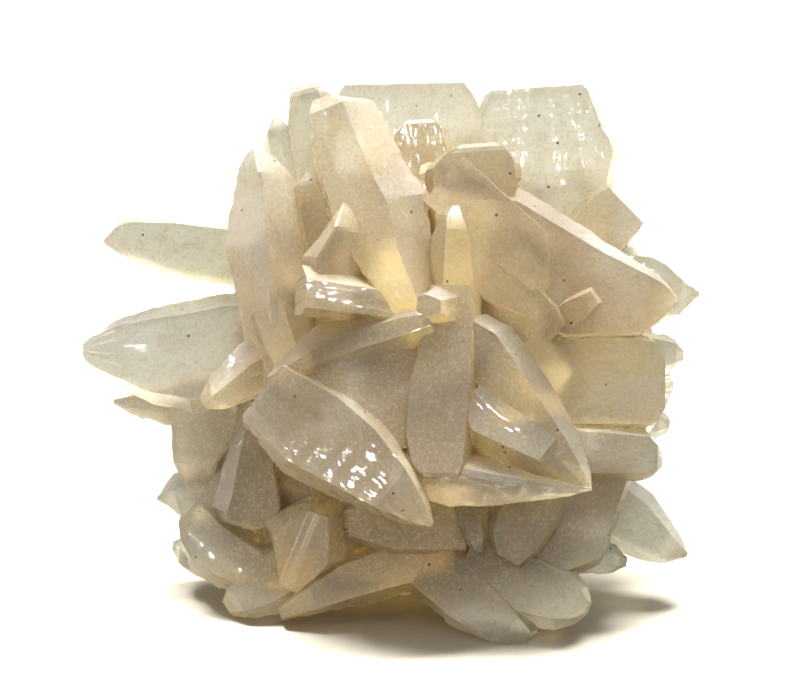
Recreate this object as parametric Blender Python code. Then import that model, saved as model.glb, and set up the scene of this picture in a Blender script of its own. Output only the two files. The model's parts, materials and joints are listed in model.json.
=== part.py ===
"""A cluster of witherite crystals grown together in one piece, resting on its feet.

Lengths in the lists are millimetres. Every crystal is placed in a display frame: across
(to the right), up (along the display face) and out (away from the display face, towards
whoever looks at it). The display face leans back by LEAN, so the cluster stands on its
underside with its best face turned up a little.
"""

import math
import random

import bmesh
import bpy
from mathutils import Matrix, Vector

MM = 0.001
LEAN = math.radians(20.0)
REST_HEIGHT = 37.3
CUT_SIDE = 200.0
NAME = "witherite_cluster"

# A blade keeps its full thickness, and so a flat face, where it has this share of its
# greatest width or more. Where it is narrower, it thins in step with its width.
FULL_SHARE = 0.6

# Each crystal: name, root, tip, half thickness, where the front face starts and ends
# across the blade (0 is the left edge, 1 the right), roll in degrees about its own
# length, then its outline as (along, half width to the left, half width to the right),
# and, where it isn't the display face, the way its broad face looks.
FRONT = [
    # The upper left: two fingers, the tall blade and the speckled ones behind it.
    ("left_upper", (-20.7, 12.9, 0), (-44.5, 14.9, -2), 3.4, (0.1, 0.88), -6,
     ((0, 6.2, 4.6), (0.19, 5.9, 4.8), (0.55, 5.1, 5.1), (0.83, 2.9, 4.3), (0.92, 1.7, 3),
      (1, 0.5, 0.5))),
    ("left_lower", (-18.7, -0.7, 3), (-47.5, -1.2, 0), 3.2, (0.12, 0.86), 4,
     ((0, 6.5, 7.5), (0.22, 8.5, 8.1), (0.42, 10.3, 7.2), (0.65, 8.6, 5.9), (0.8, 6.2, 4.6),
      (0.93, 3.9, 2.6), (0.98, 2.4, 1.6), (1, 1.4, 1))),
    ("left_ledge", (-27.8, -8.4, -2), (-43.1, -9.3, -3), 2.6, (0.3, 0.7), 10,
     ((0, 5, 4), (0.5, 4.4, 2), (0.8, 2.7, 1.5), (1, 0.5, 0.5))),
    ("tall_left", (-16.9, -6.6, 10), (-21.5, 28.5, 4), 5, (0.4, 0.45), 4,
     ((0, 4, 4.6), (0.22, 5.6, 5.8), (0.42, 6, 6.8), (0.58, 6.5, 8), (0.7, 5.7, 8.2),
      (0.82, 4.6, 6.4), (0.92, 3.3, 3.8), (0.975, 2, 2), (1, 1, 1))),
    ("top_left", (-9, 12, 1), (-14.6, 38.1, -3), 4.4, (0.12, 0.8), -8,
     ((0, 4, 4.5), (0.5, 4.4, 5.4), (0.78, 3.9, 4.8), (0.92, 2.7, 4.2), (1, 1.2, 2.4))),
    ("behind_left", (-15, 22.5, -1), (-18.9, 33.2, -4), 3, (0.35, 0.6), -15,
     ((0, 4, 3), (0.57, 4.2, 3.5), (0.8, 2.8, 2.4), (0.93, 1.4, 1.8), (1, 0.7, 1.2))),
    # The top: the largest blade, the slabs behind it and the serrated block beside it.
    ("top_blade", (3.7, 1.5, 15), (-9.7, 36.1, 6), 5.5, (0.1, 0.62), -4,
     ((0, 3, 3), (0.3, 6.5, 5.5), (0.5, 8, 8), (0.6, 7.4, 6.8), (0.77, 7, 6.2),
      (0.93, 5.2, 5.3), (1, 3.6, 0.8))),
    ("top_slab", (2.3, 16, -4), (1.8, 38.1, -7.5), 4, (0.03, 0.97), 0,
     ((0, 10, 10), (0.66, 12, 12), (0.91, 11.8, 10), (0.975, 11.5, 9), (1, 10.9, 8.6))),
    ("top_right", (23.5, 7.5, -4), (21.3, 37.7, -7), 4.4, (0.05, 0.93), 3,
     ((0, 12, 9), (0.52, 12, 10.2), (0.66, 11.8, 11.6), (0.74, 11.2, 10.8), (0.85, 10.4, 9.3),
      (0.97, 9.2, 8), (1, 8.6, 7.4))),
    ("top_small", (3.7, 20.9, 4), (3, 32.5, 2), 3, (0.12, 0.88), 0,
     ((0, 5, 5), (0.6, 4.8, 4.8), (0.9, 3.8, 4), (1, 2.4, 2))),
    ("top_mid", (11.9, 8, 7), (10.4, 28.9, 6), 4.8, (0.12, 0.9), 4,
     ((0, 6, 6), (0.5, 8.4, 7.4), (0.85, 8, 7.6), (0.94, 5.5, 6.2), (1, 2, 4))),
    # The right: the long diagonal blade, the one crossing it and the pale ones behind.
    ("right_diagonal", (8.1, 18.5, 9), (41.2, 5.8, 6), 4.4, (0.16, 0.95), -8,
     ((0, 3, 6), (0.12, 6, 9.6), (0.21, 7.7, 11.4), (0.6, 5, 12.4), (0.9, 2.7, 7.4),
      (0.955, 1.7, 4.4), (1, 0.4, 0.5))),
    ("cross", (6.6, 23.6, 8.6), (24.4, 7.8, 11.3), 3.2, (0.08, 0.96), -3,
     ((0, 5, 5), (0.4, 5, 5), (0.7, 4.8, 4.9), (0.85, 1, 4.2), (0.97, -1.6, 3.2),
      (1, -2.4, 2.8))),
    ("streaked", (10.4, 13.3, 9), (23.6, 1.2, 11), 3, (0.08, 0.92), 8,
     ((0, 4, 6), (0.5, 3.6, 6), (0.85, 3.4, 5.2), (1, 2, 3.4))),
    ("nub", (19.5, 0, 6.8), (29.3, 7.1, 10.6), 4.2, (0.2, 0.8), 0,
     ((0, 3.6, 3.6), (0.7, 2.9, 3.1), (1, 1.6, 2))),
    ("right_small", (26.3, 13.2, -2), (33.4, 20.3, -3), 3.6, (0.08, 0.92), 6,
     ((0, 5, 5), (0.8, 5.1, 5.1), (1, 4.7, 4.7))),
    ("far_right", (22, 8.8, -5), (45.4, 7, -8), 3.4, (0.12, 0.85), 5,
     ((0, 6.5, 6), (0.64, 6.8, 6), (0.75, 5.4, 5.2), (0.86, 2.9, 4.4), (0.93, 1.7, 2.2),
      (1, 0.4, 0.4))),
    ("right_bit", (24, -1, -4), (42.8, -2.3, -6), 3, (0.2, 0.8), 0,
     ((0, 5, 5), (0.5, 4.5, 4.5), (0.8, 3.4, 3.2), (0.93, 2.6, 2.2), (1, 0.8, 1))),
    ("right_block", (14, -6.7, 9), (40.6, -6.7, 6), 5, (0.04, 0.88), 3,
     ((0, 7, 7), (0.4, 7.7, 7.2), (0.87, 7.6, 7.2), (1, 0.5, 0.5))),
    ("right_tuck", (21, -11.5, -4), (40.6, -12.9, -7), 3.2, (0.3, 0.7), 0,
     ((0, 5, 5), (0.7, 4, 4), (0.88, 3.5, 3), (1, 1.5, 1.2))),
    ("right_lump", (22.1, -17, 11), (38.7, -18.1, 8), 3.6, (0.2, 0.85), -5,
     ((0, 5.5, 4), (0.5, 5.5, 3.8), (0.84, 5, 3.1), (0.94, 3, 2.2), (1, 1, 1))),
    # The middle: the wedge, the upright blades and the honey-coloured ones beside them.
    ("wedge_back", (9.1, 0.7, 13), (27.7, -21.7, 19.5), 4.6, (0.22, 0.96), 10,
     ((0, 5, 3), (0.14, 6.7, 2.4), (0.45, 5.7, 3), (0.77, 4.1, 2), (0.93, 2, 1),
      (1, 0.3, 0.3))),
    ("wedge_face", (11.4, -9.1, 14), (27.7, -21.7, 19.8), 5.4, (0.05, 0.74), -12,
     ((0, 1.8, 5), (0.09, 2.6, 6.4), (0.17, 2.6, 7.6), (0.655, 2, 4), (0.9, 1, 1.4),
      (1, 0.3, 0.3))),
    ("centre_up", (7.8, -5, 12), (8.1, 19.8, 13), 4.4, (0.25, 0.78), 8,
     ((0, 4.4, 4.8), (0.3, 4.4, 4.6), (0.5, 4.6, 4.4), (0.8, 3.7, 3.1), (0.94, 2.8, 1.6),
      (1, 0.9, 0.8))),
    ("centre_down", (7.6, 7.4, 13), (6.8, -20.6, 17), 4.8, (0.14, 0.84), 6,
     ((0, 4, 4), (0.17, 4.8, 4.8), (0.33, 5.2, 5.8), (0.56, 5.2, 7.4), (0.78, 4.8, 7.6),
      (0.93, 4.2, 6.4), (1, 3, 4))),
    ("centre_lump", (7.6, 5, 14), (3.7, 5, 19.4), 3.2, (0.2, 0.7), 0,
     ((0, 3.6, 3.4), (0.5, 3.6, 3.5), (1, 1.8, 1.9))),
    ("gem_up", (-9.5, 4.4, 14.5), (-8.1, 20.1, 15.2), 4.4, (0.3, 0.36), -6,
     ((0, 4, 4), (0.46, 5.9, 3.8), (0.74, 2.8, 3.6), (0.9, 1.4, 2), (1, 0.4, 0.4))),
    ("gem_side", (4.4, 5, 13), (-14.5, 6.6, 18), 3.6, (0.1, 0.64), 10,
     ((0, 3.4, 3), (0.4, 3.6, 3.6), (0.8, 3.4, 4.4), (1, 3.2, 4.6))),
    ("spindle", (4.4, 3.2, 16.4), (-19.3, -5.6, 15.6), 3, (0.3, 0.58), 6,
     ((0, 3.4, 3.2), (0.17, 4, 5.2), (0.45, 3.6, 5.4), (0.64, 3.4, 5), (0.82, 2.6, 3),
      (1, 0.5, 0.5))),
    ("shade_shelf", (3, -9, 15.5), (-17.4, -6.6, 16), 3, (0.05, 0.95), 8,
     ((0, 8.4, 8.4), (0.35, 8, 7.4), (0.65, 5, 5.2), (1, 2.4, 1.8))),
    # The lower left and the front edge.
    ("lower_left_arm", (-14.8, 0.7, 10), (-29, -9.5, 7), 3, (0.2, 0.66), -14,
     ((0, 5, 4), (0.45, 4.6, 4.4), (0.85, 3, 3), (1, 1, 1.4))),
    ("big_lower", (-19.1, -7.6, 14), (4.6, -27, 20.5), 4.6, (0.12, 0.86), 3,
     ((0, 6, 6.5), (0.3, 8, 8.1), (0.53, 7.6, 6.3), (0.76, 5.5, 4.3), (0.93, 2.4, 2),
      (1, 0.5, 0.5))),
    ("front_spindle", (-4.4, -19.6, 17), (27.9, -21.7, 20.5), 2.8, (0.36, 0.5), -8,
     ((0, 3, 1.4), (0.14, 5.4, 2.6), (0.37, 5, 4.1), (0.57, 3.4, 3.6), (0.76, 1.7, 2.3),
      (0.92, 0.9, 1.4), (1, 0.3, 0.3))),
    ("lower_right_slab", (32, -16.4, 6), (21.4, -35.3, 10.5), 3.6, (0.13, 0.9), 0,
     ((0, 4, 3.6), (0.12, 4.4, 3.5), (0.39, 5.4, 3.2), (0.715, 6.5, 3), (0.77, 5.9, 3),
      (0.97, 1.5, 3.3), (1, 0.6, 2.6))),
    ("lower_mid", (24.5, -17, 10), (15.9, -32.7, 13), 3.4, (0.12, 0.86), 6,
     ((0, 4, 5.6), (0.5, 4.6, 6.4), (0.85, 4, 5.4), (1, 2.4, 2.4))),
    ("lower_right_tip", (21, -17.8, -2), (43, -32.2, 1), 3.4, (0.15, 0.82), 6,
     ((0, 5.5, 5), (0.38, 5.5, 5.2), (0.66, 5, 5.6), (0.84, 2.9, 4.2), (0.93, 1.7, 2.8),
      (1, 0.4, 0.5))),
    ("small_tab", (16, -30, 3), (33.8, -33.2, 3), 2.6, (0.3, 0.7), 0,
     ((0, 4, 4), (0.7, 3, 3), (0.88, 2.6, 2.5), (1, 1, 1))),
    ("foot_right", (10.4, -32.6, 8), (27.7, -39.5, 12), 4.4, (0.12, 0.8), 0,
     ((0, 6, 6), (0.5, 5.2, 6.6), (0.8, 4.6, 5.4), (0.94, 3, 3.6), (1, 1.2, 1.4))),
    ("foot_mid", (2.2, -30.5, 6), (19.4, -43.8, 11.6), 4, (0.2, 0.85), 6,
     ((0, 6, 6), (0.5, 5.4, 6.4), (0.85, 3.6, 4.8), (1, 1.6, 2.2))),
    ("foot_left", (8.2, -32.7, 6), (-17.8, -40.9, 8), 4, (0.25, 0.88), -6,
     ((0, 3.4, 5), (0.34, 2.8, 6.5), (0.6, 2.2, 6), (0.8, 1.6, 4.2), (1, 0.9, 1.4))),
    ("under_shelf", (8.9, -26.6, 8), (-8.1, -27.4, 11), 4, (0.08, 0.92), 4,
     ((0, 5.5, 5.5), (0.6, 5, 5.5), (1, 2, 2.6))),
    ("bl_drop", (-29, -8.6, -2), (-30.8, -24.2, -5), 4.2, (0.08, 0.9), 5,
     ((0, 6, 6), (0.2, 6, 6.1), (0.35, 5.2, 5.4), (0.6, 3.2, 4.4), (0.8, 2.2, 2.6),
      (1, 0.4, 0.4))),
    ("bl_pale", (-22, -20.4, -5), (-36.8, -24.1, -7), 3, (0.2, 0.7), 0,
     ((0, 6.5, 6), (0.65, 6.2, 4.4), (0.78, 4.8, 3.2), (0.87, 2.6, 2.2), (1, 0.4, 0.4))),
    ("bl_block", (-20.6, -35, 3), (-31.5, -25.2, -1), 4.7, (0.12, 0.8), 6,
     ((0, 5, 4), (0.35, 6.5, 3.2), (0.57, 6.8, 3), (0.76, 5.8, 2.9), (0.92, 3.6, 2.2),
      (1, 0.8, 1.2))),
    ("bl_low", (-14, -34, 1), (-34.1, -30.9, -4), 3.8, (0.2, 0.8), -8,
     ((0, 5, 5), (0.7, 5, 4.4), (0.88, 3.6, 2.8), (1, 0.8, 0.8))),
    ("bl_foot", (-14.9, -32.8, 4), (-25.7, -40, 4), 4, (0.2, 0.8), 8,
     ((0, 6, 5), (0.5, 5.5, 5), (0.8, 4, 3.5), (1, 1.6, 1.6))),
    ("bl_face", (-20.6, -9.4, 5), (-26.1, -26.8, 4), 3.4, (0.08, 0.76), -4,
     ((0, 4, 3.6), (0.3, 4, 2.8), (0.5, 5.4, 2.8), (0.77, 8, 2.8), (0.93, 7.2, 2.6),
      (1, 4.6, 1.4))),
    ("bl_penta", (-11, -26, -4), (-14.8, -31, 12.5), 6.6, (0.3, 0.62), 14,
     ((0, 7, 7), (0.74, 7, 7), (1, 4.8, 4.2))),
    # Short crystals that close the gaps between the long ones.
    ("fill_upper", (-10, 10, 6), (-13.5, 25, 5.5), 3.6, (0.2, 0.8), 0,
     ((0, 4, 4), (0.5, 4.4, 4), (0.85, 3.2, 3), (1, 1, 1))),
    ("fill_middle", (9, 14, 6), (3.5, 26, 5), 3.6, (0.2, 0.8), 6,
     ((0, 4, 4), (0.6, 4.4, 4.2), (0.86, 3.2, 3), (1, 1, 1.2))),
    ("fill_knee", (-19, 4, 9), (-15, -6.5, 13.5), 3.4, (0.2, 0.75), 8,
     ((0, 4, 4), (0.5, 4, 4.2), (0.86, 3, 3.2), (1, 1.2, 1.2))),
    ("fill_dark", (9, -21, 9), (12, -31.5, 12.5), 3, (0.2, 0.7), 10,
     ((0, 3, 3), (0.5, 3.2, 3), (0.85, 2.4, 2), (1, 0.8, 0.8))),
    # Behind the slabs of the top edge.
    ("back_tall_left", (-4, 4, -7), (-9, 33, -17), 4.2, (0.15, 0.6), 14,
     ((0, 5, 5), (0.5, 7.4, 6.6), (0.78, 6.4, 5.4), (0.93, 3.4, 3), (1, 1.2, 1))),
    ("back_tall_mid", (10, 4, -8), (11, 34, -20), 4.6, (0.35, 0.8), -10,
     ((0, 6, 6), (0.5, 7.6, 8), (0.74, 7, 7), (0.91, 3.6, 4.4), (1, 1, 1.4))),
    ("back_tall_right", (22, 3, -8), (29, 27, -16), 4, (0.2, 0.7), 18,
     ((0, 6, 6), (0.45, 6.6, 6), (0.76, 5.8, 4.6), (0.92, 3, 2.4), (1, 1, 0.8))),
    ("back_tall_far", (8, 2, -10), (-2, 18, -29), 4.8, (0.2, 0.62), 24,
     ((0, 6, 6), (0.5, 7, 8), (0.75, 6, 6.6), (0.92, 3, 3.4), (1, 1, 1))),
    # Two that point down and away: the cluster rests on them as well as on its front.
    ("back_foot_left", (0, -12, -10), (-13, -32.4, -28.5), 5, (0.25, 0.7), 10,
     ((0, 6, 6), (0.5, 7.5, 7), (0.78, 6.4, 5.8), (0.93, 4.2, 3.8), (1, 2.4, 2)),
     (-0.3, -0.3, -1)),
    ("back_foot_right", (8, -12, -10), (19, -32, -29), 5.4, (0.2, 0.6), -12,
     ((0, 6, 6), (0.5, 6.6, 7.6), (0.76, 6, 6.4), (0.92, 3.8, 4.4), (1, 2, 2.4)),
     (0.3, -0.3, -1)),
]

# The massive middle that every crystal grows from, as faceted lumps: centre, reach to
# each side (across, up), reach towards the viewer and reach away, and how many corners.
CORE = [
    ("core_main", (1, 1, -4), (27, 27), 17.5, 14, 64),
    ("core_low", (-2, -24, -4), (27, 16), 13, 11, 44),
    ("core_back", (4, -15, -12), (19, 14), 8, 9, 36),
    ("core_upper", (13, 12, -7), (19, 15), 5.5, 7, 30),
]
CORE_SEED = 11
CORE_SWELL = (0.88, 1.04)

# The crystals of the side turned away: how many, the middle of the cluster, how far out
# they reach to the left, right, up and away, how steeply they stand on the surface, and
# the range of each blade's size. The last three are shares of the blade's half width.
BACK_SEED = 5
BACK_COUNT = 30
BACK_CENTRE = Vector((3.0, -2.0, -5.0))
BACK_LEFT, BACK_RIGHT, BACK_UP, BACK_AWAY = 29.0, 34.0, 31.0, 24.0
BACK_STEEP = 0.62
BACK_REACH = (0.93, 1.06)
BACK_LENGTH = (20.0, 29.0)
BACK_HALF_WIDTH = (5.0, 8.6)
BACK_ROLL = (-25.0, 25.0)
BACK_SKEW = (-0.25, 0.25)
BACK_THICKNESS = (0.42, 0.62)
GOLDEN_ANGLE = math.pi * (3.0 - math.sqrt(5.0))

STONE_COLOUR = (0.80, 0.74, 0.62, 1.0)
STONE_ROUGHNESS = 0.25
STONE_IOR = 1.6


def crystal_mesh(name, root, tip, thick, crest, roll, outline, facing=(0, 0, 1)):
    """A six-sided blade lofted from root to tip: its edges follow the outline.

    Its broad face looks towards facing, then turns by roll about the blade's length.
    """
    root = Vector(root)
    tip = Vector(tip)
    axis = (tip - root).normalized()
    side = axis.cross(Vector(facing)).normalized()
    face = side.cross(axis)
    turn = Matrix.Rotation(math.radians(roll), 3, axis)
    side = turn @ side
    face = turn @ face
    widest = max(left + right for _, left, right in outline)
    bm = bmesh.new()
    rings = []
    for along, left, right in outline:
        centre = root.lerp(tip, along)
        width = left + right
        height = thick * min(1.0, width / (FULL_SHARE * widest))
        first = -left + crest[0] * width
        second = -left + crest[1] * width
        section = ((-left, 0), (first, height), (second, height),
                   (right, 0), (second, -height), (first, -height))
        rings.append([bm.verts.new(centre + side * s + face * t) for s, t in section])
    for near, far in zip(rings, rings[1:]):
        for i in range(6):
            j = (i + 1) % 6
            bm.faces.new((near[i], near[j], far[j], far[i]))
    bm.faces.new(rings[0])
    bm.faces.new(rings[-1])
    return mesh_of(bm, name)


def core_mesh(name, centre, sides, near, far, corners, rng):
    """A lump of massive mineral: the hull of points spread evenly over an ellipsoid."""
    bm = bmesh.new()
    for i in range(corners):
        out = 1.0 - 2.0 * (i + 0.5) / corners
        ring = math.sqrt(1.0 - out * out)
        angle = i * GOLDEN_ANGLE
        swell = rng.uniform(*CORE_SWELL)
        depth = near if out > 0 else far
        bm.verts.new((centre[0] + sides[0] * ring * math.cos(angle) * swell,
                      centre[1] + sides[1] * ring * math.sin(angle) * swell,
                      centre[2] + depth * out * swell))
    hull = bmesh.ops.convex_hull(bm, input=bm.verts)
    bmesh.ops.delete(bm, geom=hull["geom_interior"], context="VERTS")
    return mesh_of(bm, name)


def back_outline(half, skew, shoulder):
    """Half widths along a back blade: full to its shoulder, then a blunt point."""
    return (
        (0, half * 0.8, half * 0.8),
        (0.45, half * (1.0 + skew), half * (1.0 - skew)),
        (shoulder, half * (0.9 + skew), half * (0.85 - skew)),
        (0.91, half * 0.5, half * (0.42 - skew * 0.5)),
        (1, half * 0.2, half * 0.16),
    )


def back_crystals():
    """Blades spread evenly over the side turned away, each leaning its own way."""
    rng = random.Random(BACK_SEED)
    found = []
    for i in range(BACK_COUNT):
        out = -(i + 0.3) / BACK_COUNT
        ring = math.sqrt(1.0 - out * out)
        angle = i * GOLDEN_ANGLE
        way = Vector((ring * math.cos(angle), ring * math.sin(angle), out))
        reach = Vector((way.x * (BACK_RIGHT if way.x > 0 else BACK_LEFT),
                        way.y * BACK_UP, way.z * BACK_AWAY))
        spin = Vector([rng.uniform(-1, 1) for _ in range(3)])
        along = way.cross(spin).normalized()
        if (along.x * way.x + along.y * way.y) * ring > 0.2:
            along = -along
        axis = (way * BACK_STEEP + along * (1.0 - BACK_STEEP)).normalized()
        length = rng.uniform(*BACK_LENGTH)
        tip = BACK_CENTRE + reach * rng.uniform(*BACK_REACH)
        half = rng.uniform(*BACK_HALF_WIDTH)
        skew = rng.uniform(*BACK_SKEW)
        outline = back_outline(half, skew, rng.uniform(0.68, 0.78))
        low = rng.uniform(0.1, 0.4)
        crest = (low, low + rng.uniform(0.08, 0.5))
        thick = half * rng.uniform(*BACK_THICKNESS)
        roll = rng.uniform(*BACK_ROLL)
        found.append(("back_%02d" % i, tip - axis * length, tip, thick, crest, roll,
                      outline, way))
    return found


def mesh_of(bm, name):
    """The mesh of a finished closed shape, its faces pointing out."""
    bmesh.ops.recalc_face_normals(bm, faces=bm.faces)
    mesh = bpy.data.meshes.new(name)
    bm.to_mesh(mesh)
    bm.free()
    return mesh


def helper(name, mesh):
    """A hidden object whose shape is only joined to the cluster or cut from it."""
    piece = bpy.data.objects.new(name, mesh)
    cutters.objects.link(piece)
    piece.hide_render = True
    piece.display_type = "WIRE"
    return piece


def combine(piece, operation):
    """One Boolean on the cluster. Over this many blades the EXACT solver drops some."""
    change = cluster.modifiers.new(piece.name, "BOOLEAN")
    change.operation = operation
    change.solver = "MANIFOLD"
    change.object = piece


for old in list(bpy.data.objects):
    bpy.data.objects.remove(old, do_unlink=True)

shown = bpy.data.collections.new("witherite_specimen")
cutters = bpy.data.collections.new("cutters")
bpy.context.scene.collection.children.link(shown)
bpy.context.scene.collection.children.link(cutters)
cutters.hide_render = True

stand = Matrix.Rotation(math.pi / 2 - LEAN, 4, "X")
to_world = Matrix.Scale(MM, 4) @ Matrix.Translation((0, 0, REST_HEIGHT)) @ stand

core_rng = random.Random(CORE_SEED)
meshes = [core_mesh(*row, core_rng) for row in CORE]
meshes += [crystal_mesh(*row) for row in FRONT + back_crystals()]
for mesh in meshes:
    mesh.transform(to_world)

cluster = bpy.data.objects.new(NAME, meshes[0])
shown.objects.link(cluster)
for mesh in meshes[1:]:
    combine(helper(mesh.name, mesh), "UNION")

bm = bmesh.new()
bmesh.ops.create_cube(bm, size=CUT_SIDE * MM)
bmesh.ops.translate(bm, verts=bm.verts, vec=(0, 0, -CUT_SIDE * MM / 2))
underside = mesh_of(bm, "underside_cut")
meshes.append(underside)
combine(helper("underside_cut", underside), "DIFFERENCE")

stone = bpy.data.materials.new("witherite")
stone.use_nodes = True
shader = stone.node_tree.nodes["Principled BSDF"]
shader.inputs["Base Color"].default_value = STONE_COLOUR
shader.inputs["Roughness"].default_value = STONE_ROUGHNESS
shader.inputs["IOR"].default_value = STONE_IOR
cluster.data.materials.append(stone)

# The origin goes under the middle of the finished cluster's box, on the ground.
bpy.context.view_layer.update()
graph = bpy.context.evaluated_depsgraph_get()
corners = [Vector(c) for c in cluster.evaluated_get(graph).bound_box]
middle = sum(corners, Vector()) / 8
for mesh in meshes:
    mesh.transform(Matrix.Translation((-middle.x, -middle.y, 0)))
print("moved to the middle by mm", -middle.x / MM, -middle.y / MM)
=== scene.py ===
# %% [markdown]
# # A cluster of witherite
#
# Witherite is barium carbonate. Its crystals are blunt, flattened blades, milky where they
# are thick and nearly clear where they are thin. Dozens of them grew through each other from
# one middle, so the specimen is a single body, with no seam between one blade and the next.
#
# The scene rebuilds that growth. Each blade is a surface worked out on a grid, the blades
# are joined into one closed skin, and the skin gets one material that knows, at each point,
# which blade it is on, how far along it, and how deep in the cluster it lies.

# %% The frame
import json
import math
import random

import bmesh
import bpy
import numpy as np
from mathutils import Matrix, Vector

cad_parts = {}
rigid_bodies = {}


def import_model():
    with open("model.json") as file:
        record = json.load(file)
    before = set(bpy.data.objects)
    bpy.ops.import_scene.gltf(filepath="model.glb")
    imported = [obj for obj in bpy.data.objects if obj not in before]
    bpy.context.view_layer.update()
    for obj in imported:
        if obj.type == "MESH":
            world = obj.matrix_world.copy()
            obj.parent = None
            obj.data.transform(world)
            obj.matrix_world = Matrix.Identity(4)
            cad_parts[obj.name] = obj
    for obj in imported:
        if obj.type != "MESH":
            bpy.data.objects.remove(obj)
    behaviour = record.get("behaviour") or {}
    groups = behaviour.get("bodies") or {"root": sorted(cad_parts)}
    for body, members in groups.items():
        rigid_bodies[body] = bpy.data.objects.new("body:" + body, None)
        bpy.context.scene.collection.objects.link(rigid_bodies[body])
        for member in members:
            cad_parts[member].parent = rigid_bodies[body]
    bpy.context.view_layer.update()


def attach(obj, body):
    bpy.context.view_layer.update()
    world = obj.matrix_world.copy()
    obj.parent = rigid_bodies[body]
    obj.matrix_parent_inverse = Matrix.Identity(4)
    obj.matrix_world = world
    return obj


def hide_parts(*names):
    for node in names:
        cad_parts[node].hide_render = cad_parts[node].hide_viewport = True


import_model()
CLUSTER = "witherite_cluster"
MM = 0.001

# %% [markdown]
# ## Where the blades stand
#
# The specimen has one best face, which leans back a little as it stands. Every blade is
# written down against that face: how far across it, how far up, and how far out in front of
# it, in millimetres. One small turn then stands the whole list up. The other way would be to
# give each blade a place and a rotation in the room, but nobody could read such a list.

# %% The display face
LEAN = math.radians(20.0)
DISPLAY_CENTRE = np.array([1.057, -1.849, 37.3])


def to_world(points):
    """Turns (across, up, out) in millimetres into metres: up leans back by LEAN."""
    across, up, out = np.moveaxis(points, -1, 0)
    back = up * math.sin(LEAN) - out * math.cos(LEAN)
    height = up * math.cos(LEAN) + out * math.sin(LEAN)
    return (np.stack([across, back, height], axis=-1) + DISPLAY_CENTRE) * MM


print("the face's middle is", to_world(np.zeros(3)).round(4))

# %% [markdown]
# ## The blades of the display side
#
# These are the solid's own blades, repeated so that the skin covers the same form. A row
# gives a blade's root and tip, its half thickness, the two crest lines where its broad face
# begins and ends, its roll, and its outline as (along, half width left, half width right).

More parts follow.
